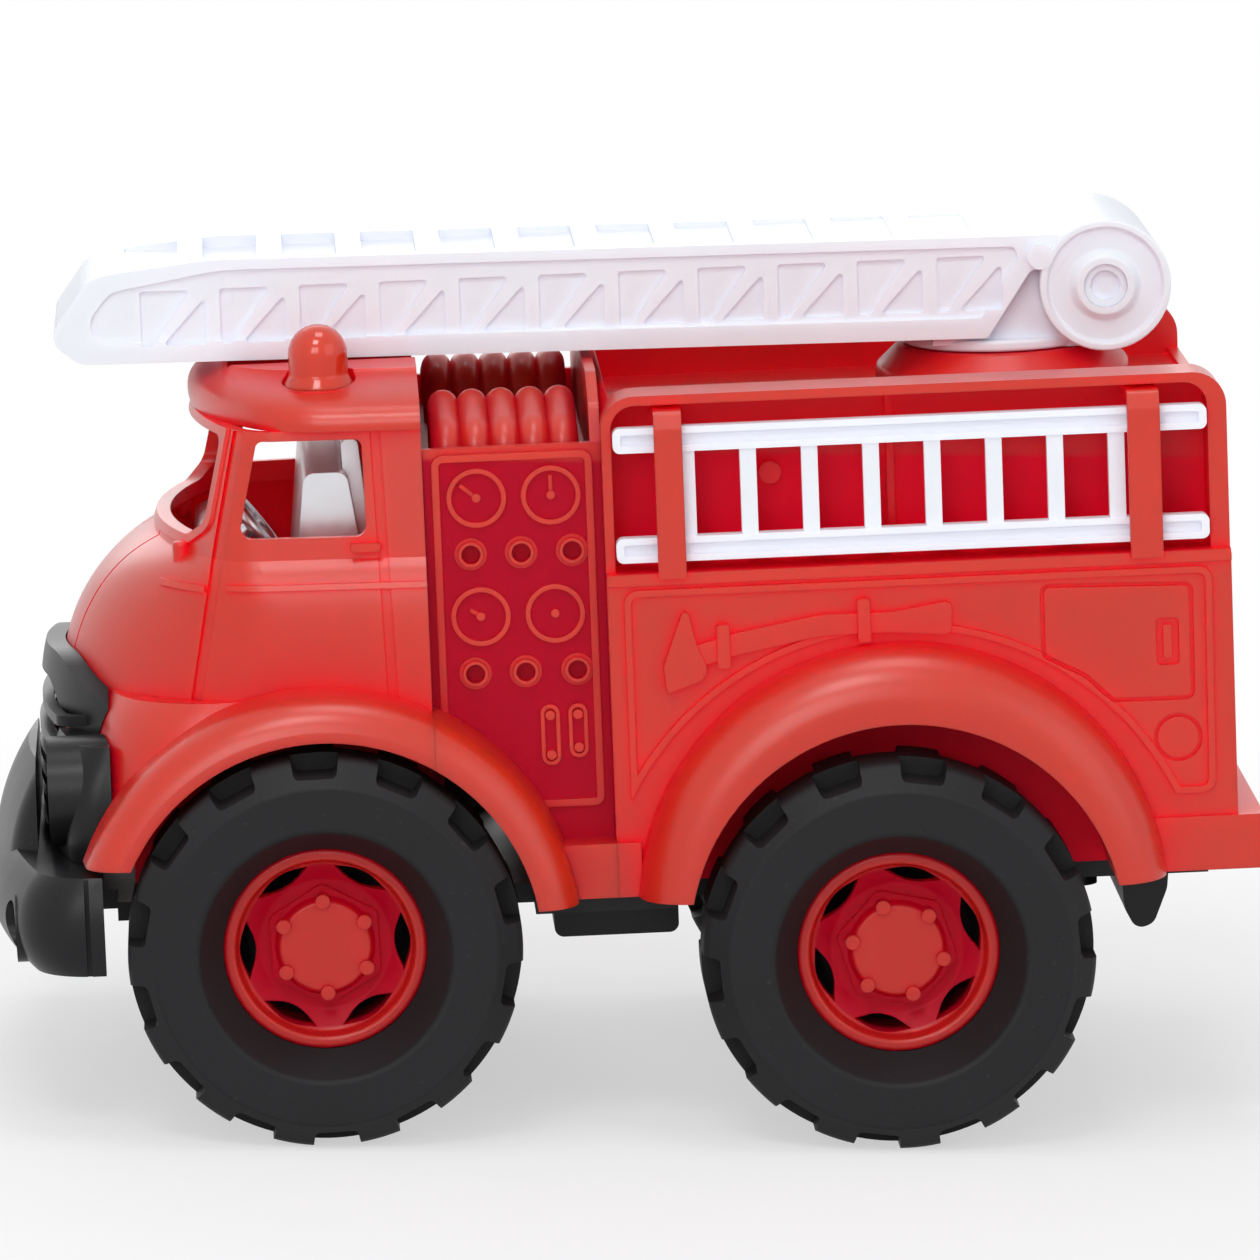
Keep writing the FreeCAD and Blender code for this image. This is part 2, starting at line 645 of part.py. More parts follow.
# along, up and length of the two lever slots
SLOTS = [(11.9, 85.3, 12.8), (6.1, 86.0, 11.4)]
PANEL_FRAME = [(1.2, 70.0, 2), (34.6, 70.0, 2), (34.6, 145.2, 2.4), (1.2, 145.2, 2.4)]


def gauge_parts(half):
    """Everything raised on the left-hand gauge panel."""
    base = half - 0.5
    parts = [band(PANEL_FRAME, "side", 1.5, base, half + 0.9)]
    for along, up, length, angle in GAUGES:
        parts.append(ring((along, up), 6.2, 5.2, base, half + 1.0))
        parts.append(disc((along, up), 0.9, base, half + 0.9))
        if length:
            needle = box((along - 0.8, base, up - 0.4), (along + length, half + 0.6, up + 0.4))
            needle.rotate(Vector(along, 0, up), Vector(0, 1, 0), -angle)
            parts.append(needle)
    for centre in KNOBS:
        parts.append(ring(centre, 3.4, 2.0, base, half + 0.6))
        parts.append(ring(centre, 2.6, 2.0, base, half + 1.6))
    for along, up, length in SLOTS:
        reach = length / 2
        outline = [(along - 2, up - reach, 1.9), (along + 2, up - reach, 1.9),
                   (along + 2, up + reach, 1.9), (along - 2, up + reach, 1.9)]
        parts.append(band(outline, "side", 0.8, base, half + 0.8))
        for end in (-1, 1):
            parts.append(disc((along, up + end * (reach - 2.2)), 1.0, base, half + 1.2))
    return parts


def make_pump_bay():
    front, rear = size("cab_rear_x"), size("body_front_x")
    half, top = size("panel_half"), size("panel_top_z")
    bay = size("bay_floor_z")
    body = box((rear, -half, FLOOR), (front, half, top))
    inside = box((rear + WALL, -half + WALL, FLOOR - 1), (front - WALL, half - WALL, bay - WALL))
    well = box((rear + WALL, -half + WALL, bay), (front + 1, half - WALL, top + 1))
    span = box((rear, 0, 0), (front, FAR_OUT, 200))
    sill = prism([
        (rear - 3, FLOOR, 0), (12, FLOOR, 0), (12, size("sill_z"), 1.2),
        (rear - 3, size("sill_z"), 0),
    ], "side", half - WALL, size("body_half") + 2)
    bulkhead = prism([
        (-half, top - 1, 0), (half, top - 1, 0), (half - 4, 154, 3), (40, 159.4, 3),
        (-40, 159.4, 3), (-half + 4, 154, 3),
    ], "front", rear, rear + WALL)
    solids = [body, bulkhead]
    for part in [sill.common(span), fender_band("front", half).common(span),
                 wheel_tub("front").common(span)] + gauge_parts(half):
        solids += both_sides(part)
    dimples = [disc(centre, 2.0, half - 1.1, half + 3) for centre in KNOBS]
    tools = [inside, well] + both_sides(arch_void("front"))
    for dimple in dimples:
        tools += both_sides(dimple)
    shell = without(fused(solids), tools)
    middle = (front + rear + WALL) / 2
    hoses = [make_hose(middle + (i - (HOSE_COUNT - 1) / 2) * HOSE_PITCH, side)
             for side in (1, -1) for i in range(HOSE_COUNT)]
    return fused([shell] + hoses)


def make_hose(along, side):
    """One hose loop of the folded lay, from the bay's outer edge up over its crest."""
    low = size("bay_floor_z") - WALL / 2
    crest_z = 155.2 - HOSE_RADIUS
    rows = [(48.6, low, 0), (47.2, 147.5, 6), (24.6, crest_z + 0.3, 5), (18.6, low, 0)]
    points = [Vector(along, side * y, z) for y, z, _ in rows]
    edges = []
    last = points[0]
    for i in (1, 2):
        back = (points[i - 1] - points[i]).normalize()
        ahead = (points[i + 1] - points[i]).normalize()
        half = back.getAngle(ahead) / 2
        radius = rows[i][2]
        reach = radius / math.tan(half)
        knee = points[i] + (back + ahead).normalize() * (radius / math.sin(half) - radius)
        edges.append(Part.makeLine(last, points[i] + back * reach))
        edges.append(Part.Arc(points[i] + back * reach, knee,
                              points[i] + ahead * reach).toShape())
        last = points[i] + ahead * reach
    edges.append(Part.makeLine(last, points[3]))
    section = Part.Wire(Part.makeCircle(HOSE_RADIUS, points[0], points[1] - points[0]))
    return Part.Wire(edges).makePipeShell([section], True, False)


# ---------------------------------------------------------------- rear body
# straps over a side ladder: front edge, back edge, along the body
STRAPS = [(-11.6, -17.4), (-110.0, -116.7)]
STRAP_HALF = 62.2
STRAP_THICK = 2.4
# the recessed panel above the rear fender, and what is moulded on it
LOWER_PANEL = [(-4.2, 116.0, 3), (-126.8, 116.0, 3), (-126.4, 68.0, 3), (-4.2, 68.0, 3)]
AXE_HEAD = [(-16.9, 113.1, 0.8), (-11.9, 99.8, 3), (-12.4, 94.2, 0.5), (-21.8, 97.2, 3),
            (-18.8, 104.5, 3)]
AXE_HANDLE = [(-17.5, 103.6, 0), (-27.0, 106.2, 12), (-45.4, 109.4, 30), (-60.0, 109.2, 30),
              (-72.4, 111.2, 1.5), (-72.0, 103.9, 1.5), (-60.0, 105.0, 30),
              (-45.4, 105.0, 30), (-27.0, 101.6, 12), (-17.5, 99.0, 0)]
AXE_STRAPS = [(-23.2, 99.0, 108.2), (-52.6, 103.2, 112.4)]
LOCKER_DOOR = [(-90.8, 113.6, 2), (-122.8, 112.8, 2), (-122.7, 87.8, 2), (-105.3, 87.9, 3),
               (-99.4, 93.6, 3), (-90.8, 98.1, 2)]
LOCKER_HANDLE = [(-114.8, 105.3, 1), (-119.6, 105.3, 1), (-119.6, 95.3, 1), (-114.8, 95.3, 1)]


def strap(front, back):
    """A band from the ledge up over the side ladder and back to the rack wall."""
    top = size("rim_z") - 2.9
    outer = [
        (size("rack_back_half") - 1, top, 0), (STRAP_HALF - 1.2, top, 1.5),
        (STRAP_HALF, top - 3.6, 1.5), (STRAP_HALF, size("ledge_z") - 1, 0),
        (STRAP_HALF - STRAP_THICK, size("ledge_z") - 1, 0),
        (STRAP_HALF - STRAP_THICK, top - STRAP_THICK, 1.0),
        (size("rack_back_half") - 1, top - STRAP_THICK, 0),
    ]
    return prism(outer, "front", back, front)


def side_trim(half):
    """Raised work on the left-hand lower side: panel bead, axe and locker."""
    base, centre = half - 0.5, ARCH_CENTRE["rear"]
    clear = ARCH["rear"] + FENDER_DEPTH["rear"] + 2.5
    bead = band(LOWER_PANEL, "side", 1.4, base, half + 0.8).cut(
        disc(centre, clear + 1.4, base - 1, half + 2))
    arc = ring(centre, clear + 1.4, clear, base, half + 0.8).common(
        prism(LOWER_PANEL, "side", base - 1, half + 2))
    parts = bead.Solids + arc.Solids
    parts.append(prism(AXE_HEAD, "side", base, half + 1.7))
    parts.append(prism(AXE_HANDLE, "side", base, half + 1.3))
    for along, low, high in AXE_STRAPS:
        parts.append(prism([(along, low, 0.6), (along - 2.6, low, 0.6), (along - 2.6, high, 0.6),
                            (along, high, 0.6)], "side", base, half + 2.1))
    return parts


def side_cuts(half):
    """Sunk work on the left-hand lower side: locker door line, its handle and a roundel."""
    grip = band(LOCKER_HANDLE, "side", 1.5, half - 0.9, half + 2)
    return [band(LOCKER_DOOR, "side", 0.9, half - 0.7, half + 2), grip,
            ring((-118.9, 79.9), 5.1, 4.3, half - 0.7, half + 2)]


def make_rear_body():
    front, rear = size("body_front_x"), size("body_rear_x")
    half, rack, back = size("body_half"), size("rack_half"), size("rack_back_half")
    ledge, rim, deck = size("ledge_z"), size("rim_z"), size("deck_z")
    edge = size("rim_height")
    lower = box((rear, -half, FLOOR), (front, half, ledge))
    upper = prism([(rear, ledge - 1, 0), (front, ledge - 1, 0), (front, rim, 7), (rear, rim, 7)],
                  "side", -rack, rack)
    recess = prism([(rear + 2 * edge, ledge, 0), (front - edge, ledge, 0),
                    (front - edge, rim - edge, 5), (rear + 2 * edge, rim - edge, 5)],
                   "side", back, FAR_OUT)
    shell = without(fused([lower, upper]), both_sides(recess))
    inside = [
        box((rear + WALL, -half + WALL, FLOOR - 1), (front - WALL, half - WALL, ledge - WALL)),
        box((rear + WALL, -back + WALL, ledge - WALL - 1),
            (front - WALL, back - WALL, deck - WALL)),
    ]
    well = box((rear - 1, -back + WALL, deck), (front - WALL, back - WALL, rim + 9))
    tail = box((rear, -back + 1, deck - 1), (rear + WALL, back - 1, deck + 1.2))
    shell = fused([without(shell, inside + [well]), tail])
    # ledge lip, sills, rear corners
    lip = prism([(rear, ledge - 2.4, 0), (front, ledge - 2.4, 0), (front, ledge, 1),
                 (rear, ledge, 1)], "side", half - 1, half + 0.9)
    corner = box((rear, half - 1, FLOOR), (rear + 22, half + 1, size("sill_z")))
    sill = box((front - 5, half - WALL, FLOOR), (front, half + 2, size("sill_z")))
    # the collar that carries the turntable
    turn_x, rest = size("turn_x"), size("turntable_z") - 0.3
    collar = spun([(0, deck - 1, 0), (size("collar_radius"), deck - 1, 0),
                   (size("collar_radius"), 152.0, 2.2),
                   (size("turntable_radius") + 1.0, rest, 1.2), (0, rest, 0)], turn_x)
    collar_hollow = disc((turn_x, 0), size("collar_radius") - WALL - 3.2, deck - WALL - 1,
                         rest - WALL, "top")
    spindle_hole = disc((turn_x, 0), size("spindle_radius") + size("running_gap"),
                        deck - WALL - 1, rest + 1, "top")
    # a low rail and a nub on the deck, a rib and a bracket on each rack wall
    rail = prism([(-10, -21, 2.4), (-56, -21, 2.4), (-56, -15, 2.4), (-10, -15, 2.4)],
                 "top", deck - 1, deck + 1.3)
    nub = disc((-46, 27), 2.0, deck - 1, deck + 2.4, "top")
    rib = box((-62.0, back - 1, ledge - 1), (-60.4, back + 1.4, rim - edge + 0.5))
    bracket = disc((-36.0, 138.0), 2.4, back - 1, back + 2.6)
    solids = [shell, collar, rail, nub]
    for part in [lip, corner, sill, fender_band("rear", half), wheel_tub("rear"), rib,
                 bracket] + side_trim(half):
        solids += both_sides(part)
    for strap_front, strap_back in STRAPS:
        solids += both_sides(strap(strap_front, strap_back))
    for low, high in ((88, 112), (70, 84)):
        solids.append(prism([(-46, low, 2), (46, low, 2), (46, high, 2), (-46, high, 2)],
                            "front", rear - 1.2, rear + 0.5))
    tools = [collar_hollow, spindle_hole] + both_sides(arch_void("rear"))
    for cut in side_cuts(half):
        tools += both_sides(cut)
    shell = without(fused(solids), tools)
    # hollow step across the back
    step = box((rear - 5.4, -half - 1, FLOOR), (rear + WALL, half + 1, size("sill_z")))
    step_hollow = box((rear - 5.4 + WALL, -half - 1 + WALL, FLOOR - 1),
                      (rear + 1, half + 1 - WALL, size("sill_z") - WALL))
    return fused([shell, without(step, [step_hollow])])


# ---------------------------------------------------------------- bumper and grille
BUMPER_HALF, BUMPER_FRONT = size("bumper_half"), size("bumper_front_x")
BUMPER_SECTIONS = [
    (41.5, BUMPER_HALF - 1.5, BUMPER_FRONT - 2.5, 260, 13),
    (45.0, BUMPER_HALF, BUMPER_FRONT, 260, 14),
    (57.5, BUMPER_HALF, BUMPER_FRONT, 260, 14),
    (FLOOR + 10.7, BUMPER_HALF - 2.0, BUMPER_FRONT - 3.5, 260, 13),
]
# the raised middle of the bumper, in front of the grille
BUMPER_CREST = [
    (FLOOR + 8, 38, BUMPER_FRONT - 0.8, 150, 8), (FLOOR + 18, 37, BUMPER_FRONT - 3.2, 150, 8),
    (FLOOR + 28, 34, BUMPER_FRONT - 8.6, 150, 6),
]


def make_bumper():
    rear = 106.5
    solid = plan_loft(BUMPER_SECTIONS, rear, 0)
    hollow = plan_loft([(38, *BUMPER_SECTIONS[0][1:]), (FLOOR + 8, *BUMPER_SECTIONS[2][1:])],
                       rear - 9, 0, 3)
    solid = without(solid, [hollow])
    mount = box((104, -30, FLOOR - 4), (BUMPER_FRONT - 2, 30, FLOOR))
    crest = plan_loft(BUMPER_CREST, BUMPER_FRONT - 25, 0)
    crest = crest.common(box((BUMPER_FRONT - 10.4, -50, 0), (BUMPER_FRONT, 50, 130)))
    lamps = both_sides(disc((54, 49.5), 5.6, BUMPER_FRONT - 7.5, BUMPER_FRONT + 3, "front"))
    seams = both_sides(box((109.4, BUMPER_HALF - 2, 40), (110.4, BUMPER_HALF + 2, 70)))
    backs = both_sides(disc((54, 49.5), 7.4, BUMPER_FRONT - 12, BUMPER_FRONT - 5.5, "front"))
    return without(fused([solid, mount, crest] + backs), lamps + seams)


GRILLE_BAR_HALF = 31.0
# height and how far each grille bar bulges ahead of the nose
GRILLE_BARS = [(67.5, 4.8), (72.6, 5.0), (77.7, 5.0), (82.8, 4.8), (87.9, 4.0)]
# half of the frame's outer edge and of its mouth, seen from the front
SURROUND = [(57.0, 62.3, 3), (57.0, 84.0, 9), (43.0, 92.5, 12), (20.0, 101.2, 30),
            (-20.0, 101.2, 30), (-43.0, 92.5, 12), (-57.0, 84.0, 9), (-57.0, 62.3, 3)]
MOUTH = [(31.0, 66.0, 3), (31.0, 84.0, 8), (17.0, 95.4, 14), (-17.0, 95.4, 14),
         (-31.0, 84.0, 8), (-31.0, 66.0, 3)]


def make_grille():
    """Black frame round the nose's foot: bars across its mouth, a socket by each side for
    a headlight, and a thick lip that follows the nose."""
    low = FLOOR + 10.8
    gap = size("seat_gap")
    front = size("cab_front_x")
    block = plan_loft([(low, 56.2, front + 4.6, 220, 7), (low + 18, 56.4, front + 4.6, 220, 8),
                       (FLOOR + 35, 54.0, front + 2.0, 220, 9)], 94, 0)
    core = plan_loft([(low - 1, 56.2, front + 4.6, 220, 7),
                      (low + 18, 56.4, front + 4.6, 220, 8),
                      (FLOOR + 33, 54.0, front + 2.0, 220, 9)], 89, 0, 3.2)
    nose_near = plan_loft(NOSE_SECTIONS, 50, CAB_TAPER, -gap)
    nose_far = plan_loft(NOSE_SECTIONS, 50, CAB_TAPER, -4.4)
    nacelle = plan_loft(NACELLE_SECTIONS, 50, 0, -gap)
    frame = prism(SURROUND, "front", 90, 130).cut(prism(MOUTH, "front", 84, 140))
    lip = nose_far.common(frame)
    sockets = both_sides(disc((44.4, 76), size("headlight_radius") + 2.6, 100, 117.2, "front"))
    mouth = prism(MOUTH, "front", 84, 140)
    holes = both_sides(disc((44.4, 76), size("headlight_radius") + 0.1, 84, 140, "front"))
    solids = [without(block, [core, mouth]), lip] + sockets
    for bar_z, bulge in GRILLE_BARS:
        outer = plan_slab(bar_z, bar_z + 2.2, GRILLE_BAR_HALF + 4, front + bulge, 160, 4, 96)
        inner = plan_slab(bar_z - 1, bar_z + 3.2, GRILLE_BAR_HALF + 1.6, front + bulge - 2.4,
                          157.6, 3, 90)
        solids.append(without(outer, [inner]))
    behind = box((80, -FAR_OUT, 0), (104, FAR_OUT, 130))
    whole = solids[0].multiFuse(solids[1:])
    return without(whole, [nose_near, nacelle, behind] + holes)


def make_interior():
    """Silver cab insert: floor, bench seat, dash and steering wheel."""
    floor_z = 95.0
    rear = size("cab_rear_x") + WALL + size("seat_gap")
    outline = NOSE_SECTIONS[4][1:]
    plate = plan_loft([(floor_z, *outline), (floor_z + 2, *outline)],
                      rear - WALL - size("seat_gap"), CAB_TAPER, WALL + size("seat_gap"))
    plate = plate.common(box((rear, -FAR_OUT, 0), (92, FAR_OUT, 200)))
    bench = prism([(45.6, floor_z + 1, 0), (66.0, floor_z + 1, 0), (61.1, 141, 2.5),
                   (52.1, 141, 2.5)], "side", -44, 44)
    back = prism([(45.0, floor_z + 1, 0), (52, floor_z + 1, 0), (53.0, 147, 1.5),
                  (49.5, 147, 1.5)], "side", -38, 38)
    dash = prism([(76, floor_z + 1, 0), (87, floor_z + 1, 0), (84.5, 122, 2),
                  (77.5, 125, 2)], "side", -38, 38)
    column = Part.makeCylinder(1.6, 12, Vector(80, 22, 121), Vector(-0.8, 0, 0.6))
    wheel = Part.makeTorus(7.4, 1.3, Vector(71.6, 22, 127.3), Vector(-0.8, 0, 0.6))
    spoke = box((-7, -1, -0.9), (7, 1, 0.9))
    spoke.rotate(Vector(0, 0, 0), Vector(0, 0, 1), 90)
    spoke.rotate(Vector(0, 0, 0), Vector(0, 1, 0), -53)
    spoke.translate(Vector(71.6, 22, 127.3))
    return fused([plate, bench, back, dash, column, wheel, spoke])


# ---------------------------------------------------------------- chassis
def make_chassis():
    """Black pan under the body: axle bearers, a boxed belly, ribs and a mud flap."""
    pan = Moulding("chassis", LEANED)
    top, low = "Sizes.floor_z", "Sizes.floor_z - 4"
    inner = TUB_INNER - WALL - 0.6

    def slab(start_x, end_x, half):
        rows = [(start_x, f"-{half}", 0), (end_x, f"-{half}", 0), (end_x, half, 0),
                (start_x, half, 0)]
        return pan.pad("top", rows, low, top)

    slab(-126, 104, inner)
    slab(-13, 16.5, 56)
    pan.pad("side", [(-14.4, f"{top} - 1", 0), (12, f"{top} - 1", 0), (12, 37, 2),
                     (-14.4, 37, 2)], -30, 30)
    for along, up in AXLES.values():
        rows = [(along - 9, f"{top} - 1", 0), (along + 9, f"{top} - 1", 0),
                (along + 5, up - 5, 3), (along - 5, up - 5, 3)]
        pan.mirrored([pan.pad("side", rows, inner - 8, inner)])
    flap = [(-118, f"{top} - 1", 0), (-107.6, f"{top} - 1", 0), (-108.2, 40, 4),
            (-110.6, 35.2, 2.5), (-114.4, 36.6, 3), (-117.4, 44, 6)]
    pan.pad("side", flap, -inner + 2, inner - 2)
    for along in (-96, -74, -36, 34, 50):
        rows = [(along - 1.1, -inner + 4, 0.5), (along + 1.1, -inner + 4, 0.5),
                (along + 1.1, inner - 4, 0.5), (along - 1.1, inner - 4, 0.5)]
        pan.pad("top", rows, "Sizes.floor_z - 7", low)
    for along in (-100, -24, 26, 92):
        boss = pan.round_pad("top", (along, 24), 4, "Sizes.floor_z - 9", low)
        pan.mirrored([boss])
        screw = pan.round_pocket("top", (along, 24), 2, "Sizes.floor_z - 10",
                                 "Sizes.floor_z - 2")
        pan.mirrored([screw])
    for along, up in AXLES.values():
        pan.round_pocket("side", (along, up), "Sizes.axle_radius + Sizes.running_gap",
                         -inner - 1, inner + 1)


# ---------------------------------------------------------------- wheels
def make_tyre(name, placement):
    """Tyre about its own centre, axis along Y, outer face towards +Y."""
    tyre = Moulding(name, placement)
    half, radius, bore = "Sizes.tyre_width / 2", "Sizes.tyre_radius", "Sizes.tyre_bore"
    tyre.revolve("top", [
        (bore, f"-{half} + 3", 0), (f"{bore} + 3", f"-{half}", 1.5),
        (f"{radius} - 5.4", f"-{half}", 1), (radius, f"-{half} + 4.5", 3),
        (radius, f"{half} - 4.5", 3), (f"{radius} - 5.4", half, 1),
        (f"{radius} - 14.6", half, 1.5), (bore, f"{half} - 9.2", 0),
    ])
    edge, floor = "Sizes.lug_gap / 2", "Sizes.tyre_radius - Sizes.lug_depth"
    middle, step = f"{radius} + 2", "360 / Sizes.lug_count"
    outer = [(f"-{edge}", floor, 1.2), (edge, floor, 1.2), (f"{edge} + 1", middle, 0),
             (f"-{edge} - 1", middle, 0)]
    cut = tyre.pocket("side", outer, 2.5, f"{half} + 1")
    tyre.polar([cut], "Sizes.lug_count")
    # the inner row of lugs stands half a pitch round from the outer row
    turn = f"180 / Sizes.lug_count"

    def swung(across, up):
        return (f"({across}) * cos({turn}) + ({up}) * sin({turn})",
                f"({up}) * cos({turn}) - ({across}) * sin({turn})")

    inner = [(*swung(across, up), corner) for across, up, corner in outer]
    cut = tyre.pocket("side", inner, f"-{half} - 1", -2.5)
    tyre.polar([cut], "Sizes.lug_count")


def make_hub(name, placement):
    """Hub about its own centre: rim, dish with six windows, raised cap and nuts."""
    hub = Moulding(name, placement)
    half, seat, wall = "Sizes.tyre_width / 2", "Sizes.tyre_bore", "Sizes.wall"
    axle, cap, rim = "Sizes.axle_radius + 0.03", "Sizes.hub_cap_radius", f"{half} - 9.2"
    hub.revolve("top", [
        (axle, f"-{half} + 3", 0), (5.5, f"-{half} + 3", 0), (5.5, -1.6, 0),
        (f"{seat} - {wall} - 1", -1.6, 0), (f"{seat} - {wall} - 1", f"-{half} + 3", 0),
        (seat, f"-{half} + 3", 0), (seat, rim, 1.0), (f"{seat} - 2.4", rim, 1.0),
        (f"{seat} - 3.2", f"{rim} - 2.6", 1), (f"{cap} + 4.4", 0.6, 1.5),
        (f"{cap} + 1.6", 0.6, 0.8), (cap, 3.6, 0.8), (0, 3.6, 0), (0, 1.43, 0),
        (axle, 1.43, 0),
    ])
    reach = f"({cap} + 3.6)"
    step = [(f"{reach} * sin({60 * i})", f"{reach} * cos({60 * i})", 2) for i in range(6)]
    hub.pad("side", step, 0, 1.7)
    hub.round_pocket("side", (0, 0), axle, -1, 1.43)
    nut = hub.round_pad("side", (0, f"{cap} + 0.3"), 1.5, 0, 4.6)
    hub.polar([nut], "Sizes.nut_count")
    window = [(-6.2, 0), (0, -2.4), (6.2, 0), (0, 2.4)]
    rows = [(f"({a}) * cos(30) + (16.1 + ({b})) * sin(30)",
             f"(16.1 + ({b})) * cos(30) - ({a}) * sin(30)", 10 if b else 0) for a, b in window]
    hub.polar([hub.pocket("side", rows, -5, 4)], "Sizes.nut_count")


# ---------------------------------------------------------------- turntable and ladder
EAR_OUT = "Sizes.ladder_half - Sizes.ladder_wall - 0.5"


def make_turntable():
    """White disc with a hollow spindle below and two ears with the ladder's pivot pins."""
    table = Moulding("turntable", LEANED)
    low, radius = "Sizes.turntable_z", "Sizes.turntable_radius"
    spindle = "Sizes.spindle_radius"
    table.revolve("side", [
        (0, f"{low} + 2.4", 0), (radius, f"{low} + 2.4", 0.8), (radius, low, 0.8),
        (spindle, low, 0), (spindle, "Sizes.deck_z - 4", 0.6),
        (f"{spindle} - Sizes.wall", "Sizes.deck_z - 4", 0), (f"{spindle} - Sizes.wall", low, 0),
        (0, low, 0),
    ], shift="Sizes.turn_x")
    foot = f"{low} + 1.4"
    ear = [(-73, foot, 0), (-74, f"{low} + 4.6", 2), (-88, 170, 5), (-98, 176.3, 5),
           (-115, 176.3, 6), (-118.5, 166, 6), (-113, foot, 0)]
    ears = table.pad("side", ear, f"{EAR_OUT} - 3", EAR_OUT)
    pin = table.round_pad("side", ("Sizes.pivot_x", "Sizes.pivot_z"), "Sizes.pin_radius",
                          f"{EAR_OUT} - 1", "Sizes.ladder_half + 0.6")
    dimple = table.round_pocket("side", ("Sizes.pivot_x", "Sizes.pivot_z"),
                                "Sizes.pin_radius - 1.4", "Sizes.ladder_half - 0.6",
                                "Sizes.ladder_half + 1")
    table.mirrored([ears, pin, dimple])
    # heel under the ears, which reach back past the disc
    heel = [("Sizes.turn_x", f"-({EAR_OUT}) + 1", 0), ("Sizes.turn_x", f"{EAR_OUT} - 1", 0),
            ("Sizes.turn_x - 24", f"{EAR_OUT} - 1", 2),
            ("Sizes.turn_x - 24", f"-({EAR_OUT}) + 1", 2)]
    table.pad("top", heel, low, f"{low} + 2.4")


